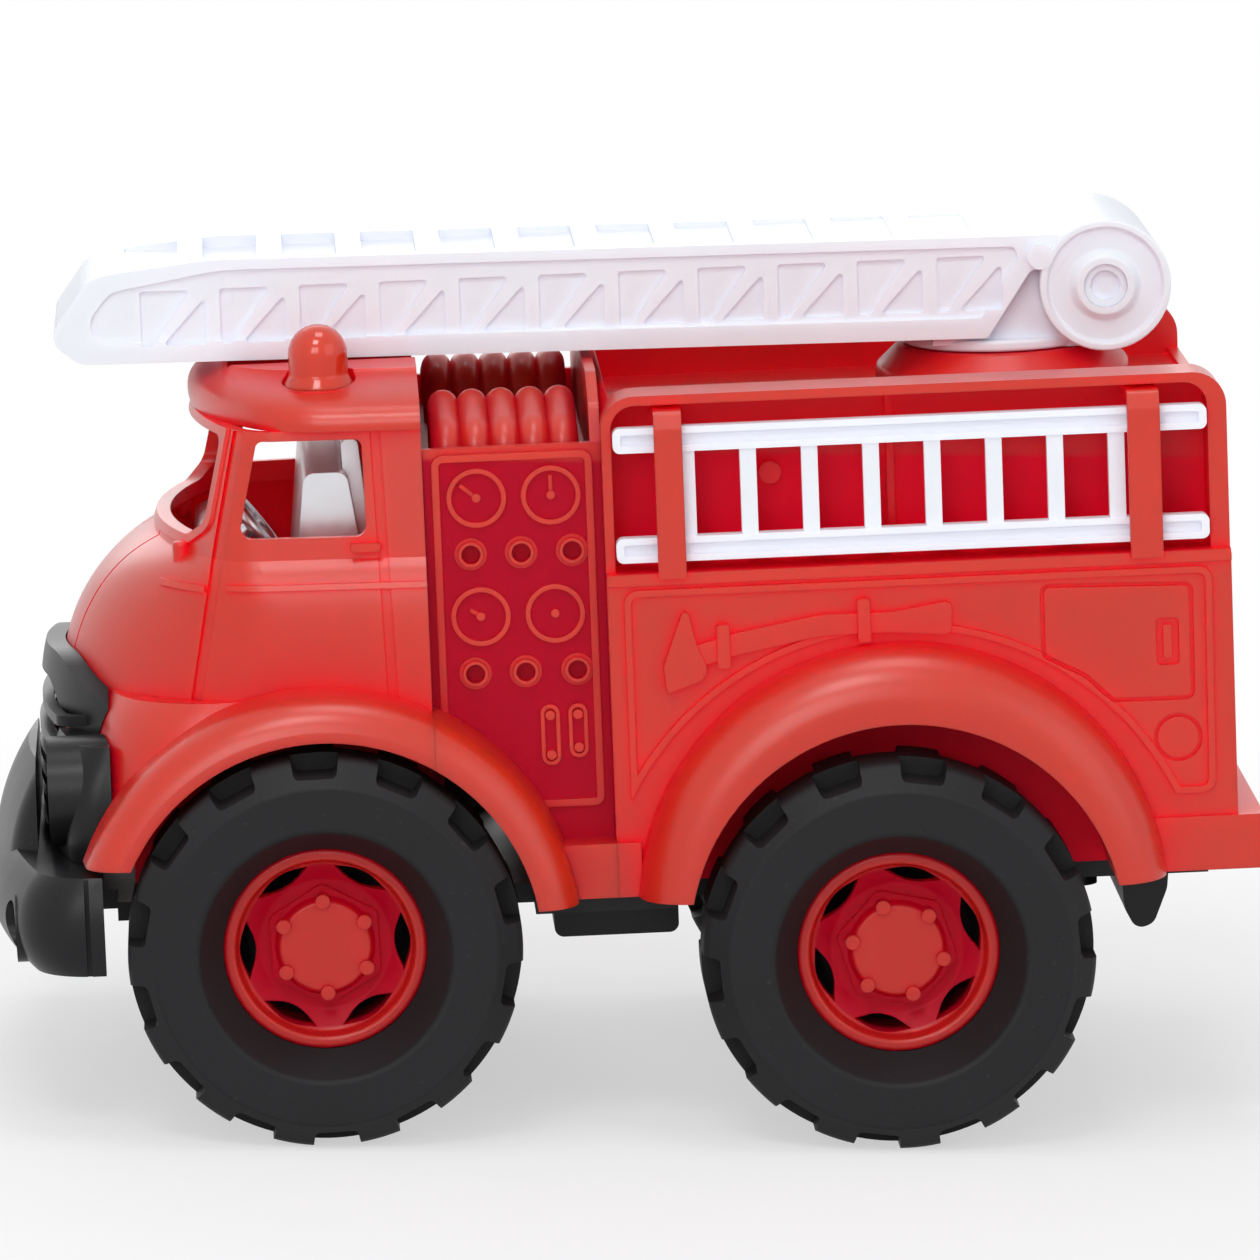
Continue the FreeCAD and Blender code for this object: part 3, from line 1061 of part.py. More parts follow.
def make_ladder():
    """White ladder, open below: sunk side walls with truss pockets, flush rungs across the
    top, and a drum at the pivot."""
    ladder = Moulding("ladder", LEANED)
    half, inner = "Sizes.ladder_half", "Sizes.ladder_half - Sizes.ladder_wall"
    px, pz = "Sizes.pivot_x", "Sizes.pivot_z"
    tip, heel = "Sizes.ladder_tip_x", "Sizes.ladder_heel_x"
    heel_z, crown = "Sizes.ladder_heel_z", "Sizes.ladder_crown_z"
    tip_low = "Sizes.ladder_heel_z + Sizes.ladder_rise"
    ladder.pad("side", [
        (heel, heel_z, 1), (f"{tip} - 6", tip_low, 6), (f"{tip} + 0.6", f"{tip_low} + 5.6", 4),
        (f"{tip} - 9", f"{crown} - 2.6", 9), (f"{tip} - 34", crown, 60),
        (f"{px} + 17", f"{crown} - 2.3", 0), (f"{px} + 4", f"{crown} - 2.3", 0),
        (f"{px} + 12", f"{pz} + 1", 0), (f"{heel} - 11", f"{pz} + 6", 2),
    ], f"-({half})", half)
    ladder.pocket("side", [
        (f"{px} + 2", 150, 0), (f"{tip} - 3.4", 150, 0), (f"{tip} - 3.4", f"{tip_low} + 5.6", 3),
        (f"{tip} - 12", f"{crown} - 6.4", 6), (f"{tip} - 34", f"{crown} - 4", 40),
        (f"{px} + 2", f"{crown} - 6", 0),
    ], f"-({inner})", inner)
    rim = f"{half} + 1"
    hole = "Sizes.pin_radius + Sizes.running_gap"
    drum = "Sizes.drum_radius"
    ladder.revolve("top", [
        (hole, f"-({half}) - 1.5", 0), (6.1, f"-({half}) - 1.5", 0.5),
        (7.6, f"-({half}) + 0.2", 0.8), (f"{drum} - 2", f"-({half}) + 0.2", 0.5),
        (f"{drum} - 1.4", f"-({rim})", 0.4), (drum, f"-({rim})", 0.4), (drum, rim, 0.4),
        (f"{drum} - 1.4", rim, 0.4), (f"{drum} - 2", f"{half} - 0.2", 0.5),
        (7.6, f"{half} - 0.2", 0.8), (6.1, f"{half} + 1.5", 0.5), (hole, f"{half} + 1.5", 0),
    ], depth=pz, shift=px)
    ladder.round_pocket("side", (px, pz), f"{drum} - 2", f"-({inner})", inner)
    ladder.pocket("side", [
        (f"{px} - 30", f"{pz} - 2", 0), (f"{px} - 30", 140, 0), (f"{px} + 20", 140, 0),
        (f"{px} + 20", f"{pz} - 2", 0),
    ], f"-({inner})", inner)
    ladder.pocket("side", [
        (f"{px} + 2", f"{pz} - 3", 0), (f"{px} + 20", f"{pz} - 3", 0),
        (f"{px} + 20", f"{crown} - 6", 0), (f"{px} + 2", f"{crown} - 6", 0),
    ], f"-({inner})", inner)
    # sunk side walls between the top rim and the lower band
    bottom, top = f"{heel_z} + 4.3", f"{crown} - 4.6"
    sunk = ladder.pocket("side", [
        (f"{heel} + 1", bottom, 1.5), (f"{tip} - 10", f"{tip_low} + 4.3", 3),
        (f"{tip} - 8", f"{tip_low} + 9", 4), (f"{tip} - 13", f"{crown} - 6", 5),
        (f"{tip} - 36", f"{crown} - 2.2", 40), (f"{px} + 19", f"{crown} - 4.4", 1),
        (f"{heel} - 7", f"{pz} + 6.5", 1),
    ], f"{half} - 0.8", f"{half} + 0.5")
    first = f"({tip} - 18)"
    low, high = f"{bottom} + 1.6", f"{top} - 1.6"
    trapezoid = [(f"{first} - 1.2", low, 0.7), (f"{first} - 3.6", low, 0.7),
                 (f"{first} - 12", high, 0.7), (f"{first} - 1.2", high, 0.7)]
    triangle = [(f"{first} - 5.6", low, 0.6), (f"{first} - 15", low, 0.6),
                (f"{first} - 15", f"{high} - 1.6", 0.6)]
    pockets = [ladder.pocket("side", rows, f"{half} - 1.6", f"{half} + 0.5")
               for rows in (trapezoid, triangle)]
    stop = ladder.round_pad("side", ("Sizes.ladder_heel_x - 11.6", f"{pz} + 6.7"), 2.7,
                            f"{inner}", f"{half} + 1.2")
    ladder.mirrored([sunk, stop])
    rungs = ladder.pocket("top", [
        (f"{first} + 2", f"-({half}) + 4.6", 1), (f"{first} - 9.4", f"-({half}) + 4.6", 1),
        (f"{first} - 9.4", f"{half} - 4.6", 1), (f"{first} + 2", f"{half} - 4.6", 1),
    ], f"{crown} - 2.4", f"{crown} + 2")
    copy = ladder.add("PartDesign::MultiTransform", "bays")
    copy.Originals = pockets + [rungs]
    mirror = ladder.add("PartDesign::Mirrored", "bay_mirror")
    mirror.MirrorPlane = (ladder.datum("XZ_Plane"), [""])
    row = ladder.add("PartDesign::LinearPattern", "bay_row")
    row.Direction = (ladder.datum("X_Axis"), [""])
    row.Reversed = True
    row.setExpression("Length", "Sizes.ladder_bay * (Sizes.ladder_bays - 1)")
    row.setExpression("Occurrences", "Sizes.ladder_bays")
    copy.Transformations = [mirror, row]
    ladder.body.Tip = copy


def make_side_ladder(label, side):
    """Side ladder in its rack: two channelled rails joined by rungs."""
    ladder = Moulding(f"side_ladder_{label}", LEANED)
    outer = STRAP_HALF - STRAP_THICK - size("seat_gap")
    inner = outer - 3.2
    height, gap = "Sizes.rail_height / 2", "Sizes.seat_gap"
    front = f"Sizes.body_front_x - Sizes.rim_height - {gap}"
    rear = f"Sizes.body_rear_x + 2 * Sizes.rim_height + {gap}"

    def span(near, far):
        """Depths of a cut or pad on this ladder's own side of the vehicle."""
        return (near, far) if side > 0 else (-far, -near)

    for middle in ("Sizes.rail_low_z", "Sizes.rail_high_z"):
        rows = [(rear, f"{middle} - {height}", 1.5), (front, f"{middle} - {height}", 1.5),
                (front, f"{middle} + {height}", 1.5), (rear, f"{middle} + {height}", 1.5)]
        ladder.pad("side", rows, *span(inner, outer))
        if middle == "Sizes.rail_low_z":
            rung = [("Sizes.side_rung_x - 1.7", "Sizes.rail_low_z + 1", 0.5),
                    ("Sizes.side_rung_x + 1.7", "Sizes.rail_low_z + 1", 0.5),
                    ("Sizes.side_rung_x + 1.7", "Sizes.rail_high_z - 1", 0.5),
                    ("Sizes.side_rung_x - 1.7", "Sizes.rail_high_z - 1", 0.5)]
            first = ladder.pad("side", rung, *span(inner + 0.3, outer - 0.6))
            ladder.row_of([first], "Sizes.side_rung_pitch", "Sizes.side_rung_count")
    for middle in ("Sizes.rail_low_z", "Sizes.rail_high_z"):
        rows = [(f"{rear} + 1.6", f"{middle} - 1.2", 0.6), (f"{front} - 1.6", f"{middle} - 1.2", 0.6),
                (f"{front} - 1.6", f"{middle} + 1.2", 0.6), (f"{rear} + 1.6", f"{middle} + 1.2", 0.6)]
        ladder.pocket("side", rows, *span(outer - 1.0, outer + 1))


# ---------------------------------------------------------------- small pieces
def make_beacon(label, side):
    """Beacon: flange that flares up into a short barrel, and a dome."""
    beacon = Moulding(f"beacon_{label}", LEANED.multiply(
        Placement(Vector(size("beacon_x"), side * size("beacon_y"), 0), Rotation())))
    radius, top = "Sizes.beacon_radius", "Sizes.beacon_top_z"
    foot = "Sizes.eaves_z + 6.2"
    beacon.revolve("side", [
        (0, foot, 0), (f"{radius} + 1.2", foot, 0), (f"{radius} + 1.2", f"{foot} + 1.5", 0.5),
        (radius, f"{foot} + 3.6", 1.5), (radius, top, f"{radius} - 0.05"), (0, top, 0),
    ])


def make_headlight(label, side):
    """Headlight: a barrel with a domed face."""
    lamp = Moulding(f"headlight_{label}", LEANED)
    radius = "Sizes.headlight_radius"
    lamp.round_pad("front", (side * 44.4, 76), radius, 109.0, "Sizes.cab_front_x + 0.8")
    lamp.round_pad("front", (side * 44.4, 76), f"{radius} - 1.4", "Sizes.cab_front_x",
                   "Sizes.cab_front_x + 2.4")


# ---------------------------------------------------------------- the assembly
add_shape("cab_shell", make_cab(), LEANED)
add_shape("pump_bay", make_pump_bay(), LEANED)
add_shape("rear_body", make_rear_body(), LEANED)
add_shape("front_bumper", make_bumper(), LEANED)
add_shape("grille", make_grille(), LEANED)
add_shape("cab_interior", make_interior(), LEANED)
make_chassis()
make_turntable()
make_ladder()
for label, side in (("left", 1), ("right", -1)):
    make_beacon(label, side)
    make_headlight(label, side)
    make_side_ladder(label, side)

# how far each wheel pair has rolled round
ROLLED = {"front": 4, "rear": 20}
HUB_DEPTH = 1.4
for which, (along, up) in AXLES.items():
    x, z = on_floor(along, up)
    axle = doc.addObject("Part::Cylinder", f"{which}_axle")
    axle.Label = f"{which}_axle"
    axle.setExpression("Radius", "Sizes.axle_radius")
    axle.setExpression("Height",
                       f"2 * (Sizes.wheel_outer_y - Sizes.tyre_width / 2 + {HUB_DEPTH})")
    axle.Placement = Placement(Vector(x, WHEEL_Y + HUB_DEPTH, z), Rotation(Vector(1, 0, 0), 90))
    for label, side in (("left", 1), ("right", -1)):
        facing = Rotation(Vector(0, 0, 1), 0 if side > 0 else 180)
        roll = Rotation(Vector(0, 1, 0), ROLLED[which])
        spot = Placement(Vector(x, WHEEL_Y * side, z), roll.multiply(facing))
        make_tyre(f"tyre_{which}_{label}", spot)
        make_hub(f"hub_{which}_{label}", spot)

doc.recompute()
for item in doc.Objects:
    if "Invalid" in item.State or "Error" in item.State:
        raise RuntimeError(f"{item.Label} did not build: {item.State}")
for item in doc.Objects:
    whole_part = item.TypeId in ("PartDesign::Body", "Part::Feature", "Part::Cylinder")
    if whole_part:
        if item.Shape.isNull() or not item.Shape.isValid():
            raise RuntimeError(f"{item.Label} has a faulty shape")
        item.Shape.exportStep(f"parts/{item.Label}.step")
        print(item.Label, len(item.Shape.Solids), round(item.Shape.Volume / 1000, 2), "cm3")
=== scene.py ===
# %% [markdown]
# # A toy fire engine: finishes, small trim and a studio
# The construction of the toy arrives as a fixed frame: every moulded piece at its real
# size, in metres, standing on the floor with the nose towards +X. This lesson gives the
# pieces their plastics, adds the small trim that is too fine for the frame, and lights
# the result on a pale studio floor.

# %% Load the frame
import math

import bmesh
import bpy
from mathutils import Matrix, Vector


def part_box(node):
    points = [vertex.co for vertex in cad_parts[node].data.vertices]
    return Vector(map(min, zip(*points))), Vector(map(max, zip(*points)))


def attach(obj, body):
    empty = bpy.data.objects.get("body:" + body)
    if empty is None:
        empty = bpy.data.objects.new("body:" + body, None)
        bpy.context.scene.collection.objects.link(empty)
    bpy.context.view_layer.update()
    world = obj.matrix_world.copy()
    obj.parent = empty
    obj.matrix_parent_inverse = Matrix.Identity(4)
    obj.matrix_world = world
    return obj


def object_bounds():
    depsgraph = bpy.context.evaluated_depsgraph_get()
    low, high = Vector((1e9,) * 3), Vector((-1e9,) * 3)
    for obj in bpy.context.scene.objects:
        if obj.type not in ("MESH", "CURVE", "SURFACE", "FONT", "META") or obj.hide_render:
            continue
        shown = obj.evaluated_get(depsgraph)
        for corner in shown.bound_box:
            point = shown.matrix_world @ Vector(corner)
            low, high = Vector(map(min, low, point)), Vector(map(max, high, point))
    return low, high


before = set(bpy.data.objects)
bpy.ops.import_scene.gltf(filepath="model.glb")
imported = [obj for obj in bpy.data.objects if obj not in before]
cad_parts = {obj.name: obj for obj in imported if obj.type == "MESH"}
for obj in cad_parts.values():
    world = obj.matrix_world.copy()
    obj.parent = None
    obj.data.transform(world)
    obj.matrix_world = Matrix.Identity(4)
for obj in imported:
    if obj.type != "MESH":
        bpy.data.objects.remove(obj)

frame_low, frame_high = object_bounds()
frame_size = frame_high - frame_low
print("pieces in the frame:", len(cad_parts))
print("length, width, height in mm:", [round(v * 1000, 1) for v in frame_size])

# %% [markdown]
# ## The camera
# A small object shown for sale is seen from far away through a long lens, so that near
# and far wheels look the same size. The camera here orbits a point near the middle of
# the toy: a few degrees of azimuth towards the nose, ten degrees up. A plain orbit is
# easier to read and change than a typed matrix. The last turn, about the lens, gives the
# view its slight tilt.

# %% Place the camera
CAMERA_AZIMUTH = math.radians(2.666)  # from square on to the left side
CAMERA_HEIGHT = math.radians(9.944)
CAMERA_ROLL = math.radians(0.876)
CAMERA_DISTANCE = 2.1245
CAMERA_LENS, SENSOR_WIDTH = 283.6, 36.0  # millimetres
SIGHT_END = 50.0
AIM_BACK, AIM_UP = 0.0029, 0.0964  # behind the middle of the toy, over the floor


def aim_camera():
    """A long-lens camera on the toy's left side, tilted a little about its own axis."""
    middle = (frame_low + frame_high) / 2
    target = Vector((middle.x - AIM_BACK, 0.0, AIM_UP))
    away = Vector((
        math.sin(CAMERA_AZIMUTH) * math.cos(CAMERA_HEIGHT),
        math.cos(CAMERA_AZIMUTH) * math.cos(CAMERA_HEIGHT),
        math.sin(CAMERA_HEIGHT),
    ))
    data = bpy.data.cameras.new("camera")
    data.lens = CAMERA_LENS
    data.sensor_width = SENSOR_WIDTH
    data.clip_end = SIGHT_END
    camera = bpy.data.objects.new("camera", data)
    camera.rotation_mode = "QUATERNION"
    camera.location = target + away * CAMERA_DISTANCE
    level = (-away).to_track_quat("-Z", "Y")
    roll = Matrix.Rotation(CAMERA_ROLL, 4, "Z").to_quaternion()
    camera.rotation_quaternion = level @ roll
    bpy.context.scene.collection.objects.link(camera)
    bpy.context.scene.camera = camera
    return camera


camera = aim_camera()
print("camera stands", round(camera.location.length, 2), "m from the origin")

# %% [markdown]
# ## Writing shader maths as expressions
# Procedural finishes need small sums on node outputs. Adding a Math node by hand for each
# one hides the formula. A tiny class that wraps a socket lets Python's own operators add
# the nodes: `1 - mask * 0.5` reads as it works. Only numbers go this way. Colours are
# blended with a Mix node, because a Math node would turn a colour grey.

# %% A socket that understands + - *
class Wire:
    """One output socket of a node tree, with arithmetic."""

    def __init__(self, graph, socket):
        self.graph, self.socket = graph, socket

    def _math(self, operation, *values):
        return self.graph.node(
            "ShaderNodeMath", {"operation": operation}, dict(enumerate(values)))

    def __add__(self, other):
        return self._math("ADD", self, other)

    __radd__ = __add__

    def __mul__(self, other):
        return self._math("MULTIPLY", self, other)

    __rmul__ = __mul__

    def __sub__(self, other):
        return self._math("SUBTRACT", self, other)

    def __rsub__(self, other):
        return self._math("SUBTRACT", other, self)

    def __abs__(self):
        return self._math("ABSOLUTE", self)

    def or_else(self, other):
        """The larger of two values; of two masks, wherever either of them holds."""
        return self._math("MAXIMUM", self, other)

    def clamped(self, low, high, to_low=0.0, to_high=1.0):
        """This value from low..high stretched to to_low..to_high and held there."""
        return self.graph.node(
            "ShaderNodeMapRange", {"clamp": True},
            {"Value": self, "From Min": low, "From Max": high,
             "To Min": to_low, "To Max": to_high})

    def spread(self, to_low=0.0, to_high=1.0):
        """Smooth noise seldom leaves 0.3 to 0.7: that middle stretched to the ends."""
        return self.clamped(0.3, 0.7, to_low, to_high)


print("arithmetic ready:", [name for name in vars(Wire) if name.startswith("__r")])

# %% [markdown]
# ## Adding any other node
# A material and the world each hold a node tree, and both are written the same way. One
# method adds every kind of node: the node's own settings come first, because some of them
# change which sockets it has, and then each socket gets a value or a link. The two Mix
# nodes are wrapped as well, because every finish uses them.

# %% A node tree
class Graph:
    """The node tree of a material or of the world."""

    def __init__(self, owner):
        owner.use_nodes = True
        self.tree = owner.node_tree

    def node(self, kind, settings=None, inputs=None, output=0):
        """Any node: its settings first, then the values or links of its sockets."""
        made = self.tree.nodes.new(kind)
        for key, value in (settings or {}).items():
            setattr(made, key, value)
        for key, value in (inputs or {}).items():
            self.plug(made.inputs[key], value)
        return Wire(self, made.outputs[output])

    def plug(self, socket, value):
        """Links a wire to a socket, or sets a plain value on it."""
        if isinstance(value, Wire):
            self.tree.links.new(value.socket, socket)
        else:
            socket.default_value = value

    def mix(self, factor, first, second):
        """Between two colours."""
        return self.node("ShaderNodeMix", {"data_type": "RGBA"},
                         {0: factor, 6: first, 7: second}, output=2)

    def blend(self, factor, first, second):
        """Between two shaders."""
        return self.node("ShaderNodeMixShader", {}, {0: factor, 1: first, 2: second})


print("a node tree offers:", [name for name in vars(Graph) if not name.startswith("_")])

# %% [markdown]
# ## A finish
# Every finish here is one Principled shader. What is the same all over a piece is set on
# the shader's own sockets, and only what changes over the surface is linked. The helpers
# name what a finish can ask of a surface: where a point is, some noise, how open it lies,
# and a normal that rounds sharp edges. The softening under the skin uses the Burley
# method, which is smooth with few samples.

# %% One material with its surface helpers
class Finish(Graph):
    """A material being built: one Principled shader and the nodes that feed it."""

    def __init__(self, name, **constants):
        self.material = bpy.data.materials.new(name)
        super().__init__(self.material)
        self.shader = self.tree.nodes["Principled BSDF"]
        self.shader.subsurface_method = "BURLEY"
        self.drive(**constants)

    def drive(self, **sockets):
        """Sets or links the shader's sockets, with _ for a space in their names."""
        for name, value in sockets.items():
            self.plug(self.shader.inputs[name.replace("_", " ")], value)

    def place(self):
        """The point being shaded, in metres, in the piece's own frame."""
        return self.node("ShaderNodeTexCoord", output="Object")

    def axis(self, index):
        """One coordinate of that point: 0, 1 or 2 for x, y or z."""
        return self.node("ShaderNodeSeparateXYZ", {}, {0: self.place()}, output=index)

    def noise(self, scale, detail=1.0):
        """Smooth noise from 0 to 1; scale is in waves per metre."""
        return self.node("ShaderNodeTexNoise", {},
                         {"Vector": self.place(), "Scale": scale, "Detail": detail})

    def grain(self, scale):
        """The finest noise, with no smaller waves in it."""
        return self.noise(scale, 0.0)

    def bump(self, height, distance, strength, **more):
        """The normal of a relief of the given height; distance is its size in metres."""
        return self.node("ShaderNodeBump", {}, {
            "Height": height, "Distance": distance, "Strength": strength, **more})

    def soft_edges(self, radius):
        """The normal of a surface whose sharp edges are rounded by radius."""
        return self.node("ShaderNodeBevel", {"samples": 2}, {"Radius": radius})

    def openness(self, distance):
        """1 on open faces, towards 0 in corners and recesses."""
        return self.node("ShaderNodeAmbientOcclusion", {"samples": 2},
                         {"Distance": distance}, output="AO")


def shade(colour, factor):
    """A colour made darker or paler."""
    return tuple(c * factor for c in colour[:3]) + (1.0,)


print("a shade darker than white:", shade((1.0, 1.0, 1.0, 1.0), 0.9))

# %% [markdown]
# ## Moulded red plastic
# The body, cab, hubs and beacons are one red polypropylene. A flat wall shows the plain
# red. In a recess the light has bounced off other red walls first, so the red turns to
# crimson, and the pale sheen of the skin goes too. That shade and bounced light are
# painted
# into the colour: an ambient-occlusion mask mixes the plain red with a painted crimson,
# and it drives the weight of a thin coat that gives open faces their sheen. A wide sunken
# wall is too open for that mask, so its painted shade is placed by a band of coordinates
# instead. The mould leaves a very fine grain, and thick and thin walls shrink differently,
# which shows as broad soft patches. Noise at two scales makes both.

# %% Red plastic
EDGE_RADIUS = 0.0004
SKIN_GRAIN = 0.00002
PATCH_FROM, PATCH_TO = 0.25, 0.75
WALL_SLACK, WALL_FEATHER = 0.0002, 0.0005
RED_TRAVELS = (1.0, 0.02, 0.04)  # how far red, green and blue run under the skin


def outside_wall(finish, half, top, back):
    """0 where painted shade goes: within half of the centre plane, below top, ahead of
    back.
    """
    edge = half + WALL_SLACK
    proud = abs(finish.axis(1)).clamped(edge, edge + WALL_FEATHER)
    above = finish.axis(2).clamped(top - WALL_FEATHER * 2, top)
    behind = 1 - finish.axis(0).clamped(back - WALL_FEATHER, back)
    return proud.or_else(above).or_else(behind)


def red_plastic(name, open_colour, painted_recess_colour, roughness=0.42, sheen=0.9,
                sheen_roughness=0.3, sunk=None, reach=0.03):
    """Plain red on open faces; in recesses, painted shade and bounced light, and no sheen.
    """
    finish = Finish(name, Specular_IOR_Level=0.12, Coat_Roughness=sheen_roughness,
                    Subsurface_Weight=0.6, Subsurface_Scale=0.006,
                    Subsurface_Radius=RED_TRAVELS)
    patches = finish.noise(28.0)
    grain = finish.grain(2600.0)
    openness = finish.openness(reach).clamped(0.3, 0.9)
    # a sunk wall gets the painted recess colour by its coordinates
    if sunk:
        openness = openness * outside_wall(finish, **sunk)
    face = finish.mix(patches.spread(), open_colour, shade(open_colour, 0.95))
    waxy = patches.clamped(PATCH_FROM, PATCH_TO, roughness - 0.04, roughness + 0.04)
    # painted light: a crimson for shade and bounced light in recesses, mixed in by the
    # occlusion mask
    finish.drive(
        Base_Color=finish.mix(openness, painted_recess_colour, face),
        Roughness=waxy + grain * 0.05,
        Coat_Weight=openness * sheen,
        Normal=finish.bump(grain, SKIN_GRAIN, 0.6, Normal=finish.soft_edges(EDGE_RADIUS)),
    )
    return finish.material


print("fine grain", SKIN_GRAIN * 1000, "mm, edges rounded by", EDGE_RADIUS * 1000, "mm")

# %% [markdown]
# ## The reds of this toy
# Most of the toy shares one pair of reds: the plain red, and a crimson painted into
# recesses for their shade and bounced light. The gauge panel gets a darker painted shade,
# because it is sunk between the cab and the rear body; the back walls of the ladder racks
# and the dishes of the hubs are sunk too, so they get their painted crimson by
# coordinates.
# The beacons are polished, so their coat is tighter.

# %% Five reds
RED_OPEN = (0.59, 0.024, 0.006, 1.0)
# painted recess crimson: shade and light bounced off red walls
RED_PAINTED_RECESS = (0.80, 0.000, 0.021, 1.0)
# painted shade of the sunk gauge panel
PANEL_PAINTED_SHADE = (0.42, 0.000, 0.017, 1.0)
HUB_OPEN = (0.58, 0.020, 0.006, 1.0)
# painted shade of the sunk hub dishes
HUB_PAINTED_SHADE = (0.44, 0.000, 0.014, 1.0)
BEACON_OPEN = (0.62, 0.030, 0.006, 1.0)

body_red = red_plastic("body_red", RED_OPEN, RED_PAINTED_RECESS)
panel_red = red_plastic("panel_red", RED_OPEN, PANEL_PAINTED_SHADE, reach=0.01,
                        sunk={"half": 0.054, "top": 0.142, "back": -0.02})
rack_red = red_plastic("rack_red", RED_OPEN, RED_PAINTED_RECESS,
                       sunk={"half": 0.0484, "top": 0.143, "back": -0.1222})
hub_red = red_plastic("hub_red", HUB_OPEN, HUB_PAINTED_SHADE, roughness=0.4, sheen=0.8,
                      sunk={"half": 0.0668, "top": 1.0, "back": -1.0})
beacon_red = red_plastic("beacon_red", BEACON_OPEN, RED_OPEN, roughness=0.25, sheen=1.0,
                         sheen_roughness=0.08)
print("red plastics:", [red.name for red in (body_red, panel_red, rack_red, hub_red,
                                             beacon_red)])

# %% [markdown]
# ## White plastic
# The ladder, turntable and side ladders are the same kind of plastic in a cool white. It
# lets a little light through, so its shaded walls stay pale and slightly lavender instead
# of going grey. A small subsurface weight with a short radius gives that softness, and an
# occlusion mask paints a bluer shade into recesses.

# %% White plastic
WHITE_OPEN = (0.85, 0.88, 0.92, 1.0)
WHITE_PATCH = (0.82, 0.86, 0.90, 1.0)
WHITE_PAINTED_SHADE = (0.78, 0.80, 0.89, 1.0)
RUNG_REACH = 0.012


def white_plastic(name):
    """Cool white on open faces, a bluer painted shade in recesses."""
    finish = Finish(name, Specular_IOR_Level=0.14, Subsurface_Weight=0.25,
                    Subsurface_Scale=0.004, Subsurface_Radius=(0.9, 0.8, 1.0))
    grain = finish.grain(2400.0)
    face = finish.mix(finish.noise(30.0).spread(), WHITE_OPEN, WHITE_PATCH)
    openness = finish.openness(RUNG_REACH).clamped(0.2, 0.9)
    finish.drive(
        # a bluer painted shade in recesses, mixed in by the occlusion mask
        Base_Color=finish.mix(openness, WHITE_PAINTED_SHADE, face),
        Roughness=grain.spread(0.34, 0.42),
        Normal=finish.bump(grain, SKIN_GRAIN, 0.5),
    )
    return finish.material


ladder_white = white_plastic("ladder_white")
print("white plastic:", ladder_white.name)

# %% [markdown]
# ## Black plastics
# The tyres are blow-moulded and feel dry; the bumper, grille and chassis are smoother and
# catch a satin sheen. One function makes both, with its roughness, the strength of its
# grain and its sheen as the knobs. A trace of pale dust, which black plastic always picks
# up, lies in faint specks over the even colour.

# %% Black plastics
DUST = (0.2, 0.2, 0.2, 1.0)
DUST_SHARE = 0.12


def black_plastic(name, colour, roughness, grain_height, sheen):
    """Even black with soft patches, a dry or satin skin and a trace of dust."""
    finish = Finish(name, Specular_IOR_Level=0.22, Coat_Weight=sheen, Coat_Roughness=0.3)
    patches = finish.noise(40.0)
    specks = finish.noise(700.0).clamped(0.70, 0.95)
    base = finish.mix(patches.spread(), colour, shade(colour, 1.3))
    satin = patches.clamped(PATCH_FROM, PATCH_TO, roughness - 0.05, roughness + 0.06)
    finish.drive(
        Base_Color=finish.mix(specks * DUST_SHARE, base, DUST),
        Roughness=satin,
        Normal=finish.bump(finish.grain(1900.0), grain_height, 0.8),
    )
    return finish.material


tyre_black = black_plastic("tyre_black", (0.010, 0.010, 0.011, 1.0), roughness=0.55,
                           grain_height=0.00005, sheen=0.0)
trim_black = black_plastic("trim_black", (0.008, 0.008, 0.009, 1.0), roughness=0.36,
                           grain_height=SKIN_GRAIN, sheen=0.05)
print("black plastics:", tyre_black.name, trim_black.name)

# %% [markdown]
# ## Metallised silver
# The cab insert and the headlights are plastic with a vacuum-coated silver skin, the
# axles are plain steel wire. Both are metals to the shader; the coating is brighter and
# follows every waviness of the moulding under it.

# %% Silver and steel
def silver(name, colour, roughness, waviness):
    """A metal skin with broad waves and finer scuffs."""
    finish = Finish(name, Metallic=1.0)
    waves = finish.noise(90.0)
    finish.drive(
        Base_Color=finish.mix(waves.spread(), colour, shade(colour, 0.92)),
        Roughness=finish.noise(420.0).spread(roughness, roughness + 0.06),
        Normal=finish.bump(waves, waviness, 0.4, Normal=finish.soft_edges(0.0003)),
    )
    return finish.material


silver_coat = silver("silver_coat", (0.70, 0.70, 0.73, 1.0), roughness=0.3,
                     waviness=0.0001)
axle_steel = silver("axle_steel", (0.52, 0.52, 0.53, 1.0), roughness=0.32,
                    waviness=0.00004)
print("metals:", silver_coat.name, axle_steel.name)

# %% [markdown]
# ## Give each moulded piece its finish
# The pieces of the frame keep their own shape, so they only need a material in their
# slot. A table from the start of a name to a finish covers left and right, front and
# rear without writing each of them out.

# %% Assign the finishes
FINISH_OF = {
    "cab_shell": body_red, "pump_bay": panel_red, "rear_body": rack_red,
    "hub_": hub_red, "beacon_": beacon_red,
    "ladder": ladder_white, "turntable": ladder_white, "side_ladder_": ladder_white,
    "tyre_": tyre_black,
    "chassis": trim_black, "front_bumper": trim_black, "grille": trim_black,
    "cab_interior": silver_coat, "headlight_": silver_coat,
    "front_axle": axle_steel, "rear_axle": axle_steel,
}
for name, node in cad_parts.items():
    material = next(value for start, value in FINISH_OF.items() if name.startswith(start))
    node.data.materials.clear()
    node.data.materials.append(material)
print("finished:", len(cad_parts), "pieces")

# %% [markdown]
# ## Building round forms ring by ring
# The trim that is still missing is round: discs and screw heads. A round form is a row of
# circles, each a ring of corners, with quads between one ring and the next. These three
# helpers draw a circle, bridge two rings, and turn the finished form into an object.

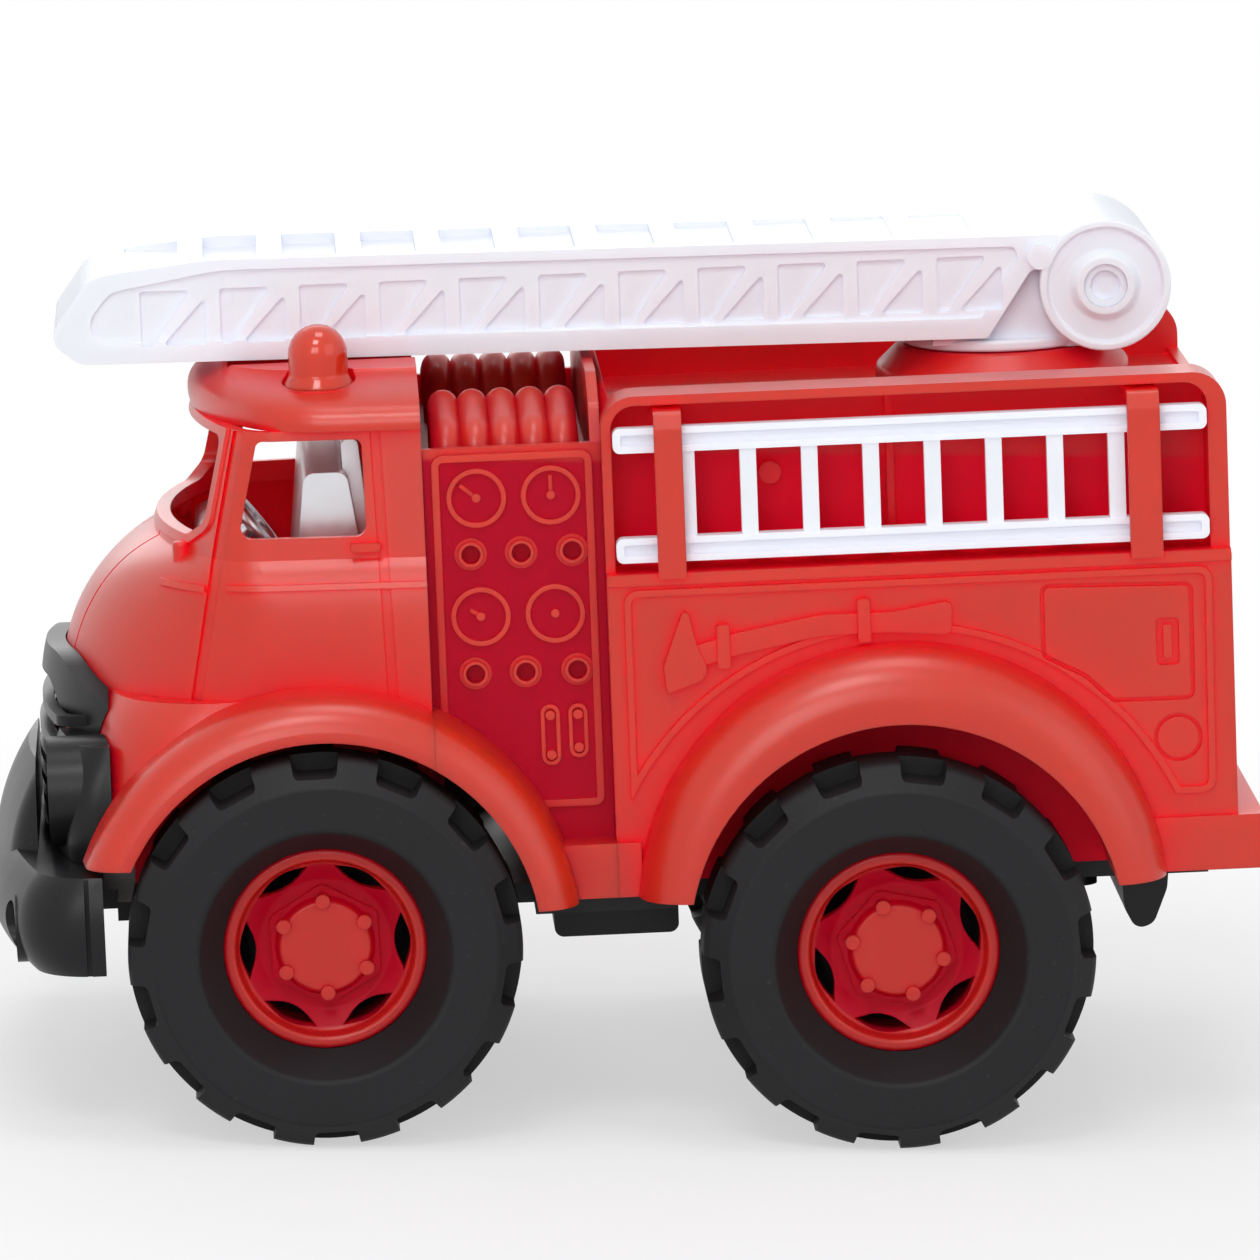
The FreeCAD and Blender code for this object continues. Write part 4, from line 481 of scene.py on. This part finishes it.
# %% Rings, bridges and objects
def circle(radius, steps):
    """The corners of a circle about the origin, as pairs."""
    turns = [2 * math.pi * i / steps for i in range(steps)]
    return [(radius * math.cos(turn), radius * math.sin(turn)) for turn in turns]


def bridge(form, near, far):
    """Quads all the way round between two rings of corners."""
    for i in range(len(near)):
        after = (i + 1) % len(near)
        form.faces.new((near[i], near[after], far[after], far[i]))


def linked_object(name, form, material):
    """The form as an object in the scene, with every face pointing outwards."""
    bmesh.ops.recalc_face_normals(form, faces=form.faces)
    mesh = bpy.data.meshes.new(name)
    form.to_mesh(mesh)
    form.free()
    made = bpy.data.objects.new(name, mesh)
    bpy.context.scene.collection.objects.link(made)
    made.data.materials.append(material)
    return made


print("corners of a coarse circle:", len(circle(1.0, 8)))

# %% [markdown]
# ## The inner wall of each tyre
# The tyres are blown hollow, and their inner wall closes the wheel behind the hub, which
# is why the hub's windows look black. It is a thin dished disc with a raised ring and a
# hole for the axle. A profile of radius and depth, turned about the axle, makes it: one
# list of rows, walked once for the outside and once, moved by the wall, for the inside.

# %% Turn a profile about an axle
WEB_STEPS = 64
WEB_WALL = 0.0009
# radius and distance from the middle of the tyre towards the vehicle, in metres
WEB_PROFILE = [(0.0210, 0.0123), (0.0203, 0.0131), (0.0176, 0.0134), (0.0166, 0.0126),
               (0.0152, 0.0124), (0.0138, 0.0128), (0.0128, 0.0136), (0.0080, 0.0138),
               (0.0066, 0.0130), (0.0050, 0.0129), (0.0040, 0.0136), (0.0025, 0.0137)]


def turned_web(name, centre, side):
    """The closed dished disc of one wheel; side is 1 on the left and -1 on the right."""
    inside = [(radius, depth - WEB_WALL) for radius, depth in reversed(WEB_PROFILE)]
    form = bmesh.new()
    rings = [[form.verts.new(centre + Vector((along, -side * depth, up)))
              for along, up in circle(radius, WEB_STEPS)]
             for radius, depth in WEB_PROFILE + inside]
    for near, far in zip(rings, rings[1:] + rings[:1]):
        bridge(form, near, far)
    web = linked_object(name, form, tyre_black)
    for face in web.data.polygons:
        face.use_smooth = True
    return web


print("rows in the profile of an inner wall:", len(WEB_PROFILE))

# %% [markdown]
# ## One inner wall in each tyre
# The box of a tyre gives the place of its wheel, so no wheel position is typed here. Each
# wall rides with the wheels of its own axle, because it turns with them.

# %% Four inner walls
for end in ("front", "rear"):
    for hand, side in (("left", 1), ("right", -1)):
        low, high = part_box(f"tyre_{end}_{hand}")
        web = turned_web(f"tyre_web_{end}_{hand}", (low + high) / 2, side)
        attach(web, f"{end}_wheels")

# %% [markdown]
# ## A screw head
# Eight self-tapping screws hold the black chassis to the red body. Their wells are part
# of the chassis; the screws are too small for the frame, so they are made here. A head is
# a dome pressed from a disc of rings and spokes: a cosine lowers the rim, and the four
# arms of the cross are pushed back in. The rings lie closer together where the cross
# ends, so that its corners stay crisp.

# %% Press a head
SPOKES = 32
# radius of each ring as a share of the head's
RING_SHARES = (0.08, 0.2, 0.34, 0.46, 0.56, 0.62, 0.8, 0.94, 1.0)
HEAD_RADIUS, HEAD_RISE, HEAD_WALL = 0.00185, 0.0007, 0.0009
DOME_FULLNESS = 0.7
CROSS_REACH, CROSS_HALF, CROSS_DEPTH = 0.0011, 0.00026, 0.0007


def head_height(x, y):
    """Height of the head's skin over its rim, with the cross taken out."""
    out = min(math.hypot(x, y) / HEAD_RADIUS, 1.0)
    dome = HEAD_RISE * math.cos(out * math.pi / 2) ** DOME_FULLNESS
    in_cross = min(abs(x), abs(y)) < CROSS_HALF and max(abs(x), abs(y)) < CROSS_REACH
    return dome - CROSS_DEPTH if in_cross else dome


def add_head(form, to_place):
    """One closed head, its skin towards -Z, placed by a matrix."""
    tip = form.verts.new(to_place @ Vector((0, 0, -head_height(0, 0))))
    rows = [[form.verts.new(to_place @ Vector((x, y, -head_height(x, y))))
             for x, y in circle(HEAD_RADIUS * share, SPOKES)] for share in RING_SHARES]
    rows.append([form.verts.new(to_place @ Vector((x, y, HEAD_WALL)))
                 for x, y in circle(HEAD_RADIUS, SPOKES)])
    for i in range(SPOKES):
        form.faces.new((tip, rows[0][(i + 1) % SPOKES], rows[0][i]))
    for near, far in zip(rows, rows[1:]):
        bridge(form, near, far)
    form.faces.new(rows[-1])


print("corners in a head:", SPOKES * (len(RING_SHARES) + 1) + 1)

# %% [markdown]
# ## Eight screws in their wells
# One mesh holds all eight, because they never move apart. The whole body leans three
# degrees nose down and stands a little low over its axles, and the screws lean and drop
# with it. Nobody lines up the crosses of self-tapping screws, so each is turned its own
# way.

# %% Drive the screws
LEAN = math.radians(3.0)
BODY_DROP = 0.0009
SCREW_ALONG = (-0.100, -0.024, 0.026, 0.092)
SCREW_ACROSS = 0.024
SCREW_SEAT = 0.0470
TURN_ALONG, TURN_ACROSS = 0.7, 0.4  # radians


def chassis_screws():
    """All eight heads as one piece that rides on the body."""
    form = bmesh.new()
    leaned = Matrix.Translation((0, 0, -BODY_DROP)) @ Matrix.Rotation(LEAN, 4, "Y")
    for number, along in enumerate(SCREW_ALONG):
        for side in (1, -1):
            angle = TURN_ALONG * number + TURN_ACROSS * side
            seat = Matrix.Translation((along, side * SCREW_ACROSS, SCREW_SEAT))
            add_head(form, leaned @ seat @ Matrix.Rotation(angle, 4, "Z"))
    screws = linked_object("chassis_screws", form, axle_steel)
    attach(screws, "body")
    return screws


screws = chassis_screws()
print("screw faces:", len(screws.data.polygons))

# %% [markdown]
# ## The floor
# A pale paper floor that meets a white surround hides the horizon. The toy must not be
# washed out by it, so what the camera sees of the floor is chosen apart from the light
# the floor throws: a Mix Shader, driven by Light Path, blends the lit paper with plain
# white. Close to the toy the paper keeps some of its own shading, so the soft shadow
# between the wheels stays; further out only the white is left. Reflections and glass
# show the same white as the camera does.

# %% Lay the floor
WHITE = (1.0, 1.0, 1.0, 1.0)
PAPER, PAPER_FIBRE = (0.86, 0.86, 0.87, 1.0), (0.88, 0.88, 0.89, 1.0)
FLOOR_HALF = 6.0
SHADOW_KEPT = 0.45
WHITE_FROM, WHITE_BY = 0.16, 0.42  # metres from the middle of the floor


def background_rays(graph):
    """1 for what the camera sees, directly, in a reflection or through glass, else 0."""
    camera_ray, glossy_ray, glass_ray = [
        graph.node("ShaderNodeLightPath", output=f"Is {ray} Ray")
        for ray in ("Camera", "Glossy", "Transmission")]
    return camera_ray.or_else(glossy_ray).or_else(glass_ray)


def floor_sheet():
    """A square sheet of paper under the toy."""
    corners = [(x * FLOOR_HALF, y * FLOOR_HALF, 0.0)
               for x, y in ((-1, -1), (1, -1), (1, 1), (-1, 1))]
    mesh = bpy.data.meshes.new("floor")
    mesh.from_pydata(corners, [], [(0, 1, 2, 3)])
    floor = bpy.data.objects.new("floor", mesh)
    bpy.context.scene.collection.objects.link(floor)
    return floor


def floor_paper():
    """Lit paper close to the toy, plain white to the camera further out."""
    finish = Finish("floor_paper", Roughness=0.9, Specular_IOR_Level=0.1)
    finish.drive(Base_Color=finish.mix(finish.grain(60.0), PAPER, PAPER_FIBRE))
    distance = finish.node("ShaderNodeVectorMath", {"operation": "LENGTH"},
                           {0: finish.place()}, output="Value")
    far = distance.clamped(WHITE_FROM, WHITE_BY, 1.0 - SHADOW_KEPT, 1.0)
    white = finish.node("ShaderNodeEmission", {}, {"Color": WHITE, "Strength": 1.0})
    paper = Wire(finish, finish.shader.outputs[0])
    finish.plug(finish.tree.nodes["Material Output"].inputs["Surface"],
                finish.blend(background_rays(finish) * far, paper, white))
    return finish.material


floor = floor_sheet()
floor.data.materials.append(floor_paper())
print("floor:", FLOOR_HALF * 2, "m square")

# %% [markdown]
# ## The surround
# The world does two jobs. To the camera it is plain white at a strength of 1, so that it
# meets the floor without a seam; to the toy it is a weaker, slightly cool fill that
# keeps the shadows open. The same rays as on the floor choose between the two.

# %% White surround, soft fill
FILL_COLOUR, FILL_STRENGTH = (0.95, 0.96, 1.0, 1.0), 0.5


def studio_world():
    """White wherever a background is seen, a soft grey fill for all other light."""
    world = bpy.data.worlds.new("studio")
    sky = Graph(world)
    fill = sky.tree.nodes["Background"]
    sky.plug(fill.inputs["Color"], FILL_COLOUR)
    sky.plug(fill.inputs["Strength"], FILL_STRENGTH)
    shown = sky.node("ShaderNodeBackground", {}, {"Color": WHITE, "Strength": 1.0})
    sky.plug(sky.tree.nodes["World Output"].inputs["Surface"],
             sky.blend(background_rays(sky), Wire(sky, fill.outputs[0]), shown))
    bpy.context.scene.world = world
    return world


print("world:", studio_world().name, "with a fill of", FILL_STRENGTH)

# %% [markdown]
# ## Softboxes
# Five square area lamps stand round the toy, all turned towards it. The two in front do
# most of the work and leave soft highlights on the fenders; the box overhead stays weak,
# or the white ladder would lose its rungs; the large one behind lifts the far edges.
# Their strengths are kept low, so that a colour renders about as it is written.

# %% Hang the lamps
LAMP_AIM = Vector((0, 0, 0.09))
# place in metres, side of the box in metres, watts
SOFTBOXES = {
    "key_box": ((0.3, 1.0, 1.45), 0.5, 6.5),
    "front_box": ((0.5, 1.9, 0.85), 0.9, 9.0),
    "fill_box": ((-1.3, 1.2, 0.8), 1.3, 4.0),
    "top_box": ((0.0, 0.1, 1.6), 0.55, 3.8),
    "back_box": ((0.3, -1.7, 0.9), 1.2, 6.5),
}


def soft_lamp(name, place, side, watts):
    """A square softbox that faces the toy."""
    data = bpy.data.lights.new(name, "AREA")
    data.size = side
    data.energy = watts
    lamp = bpy.data.objects.new(name, data)
    lamp.location = place
    lamp.rotation_mode = "QUATERNION"
    lamp.rotation_quaternion = (LAMP_AIM - lamp.location).to_track_quat("-Z", "Y")
    bpy.context.scene.collection.objects.link(lamp)


for name, (place, side, watts) in SOFTBOXES.items():
    soft_lamp(name, place, side, watts)

# %% [markdown]
# ## Finish
# The colours are shown with the Standard view transform, so a red is rendered as it
# is written.

# %% Show colours as written
bpy.context.scene.view_settings.view_transform = "Standard"
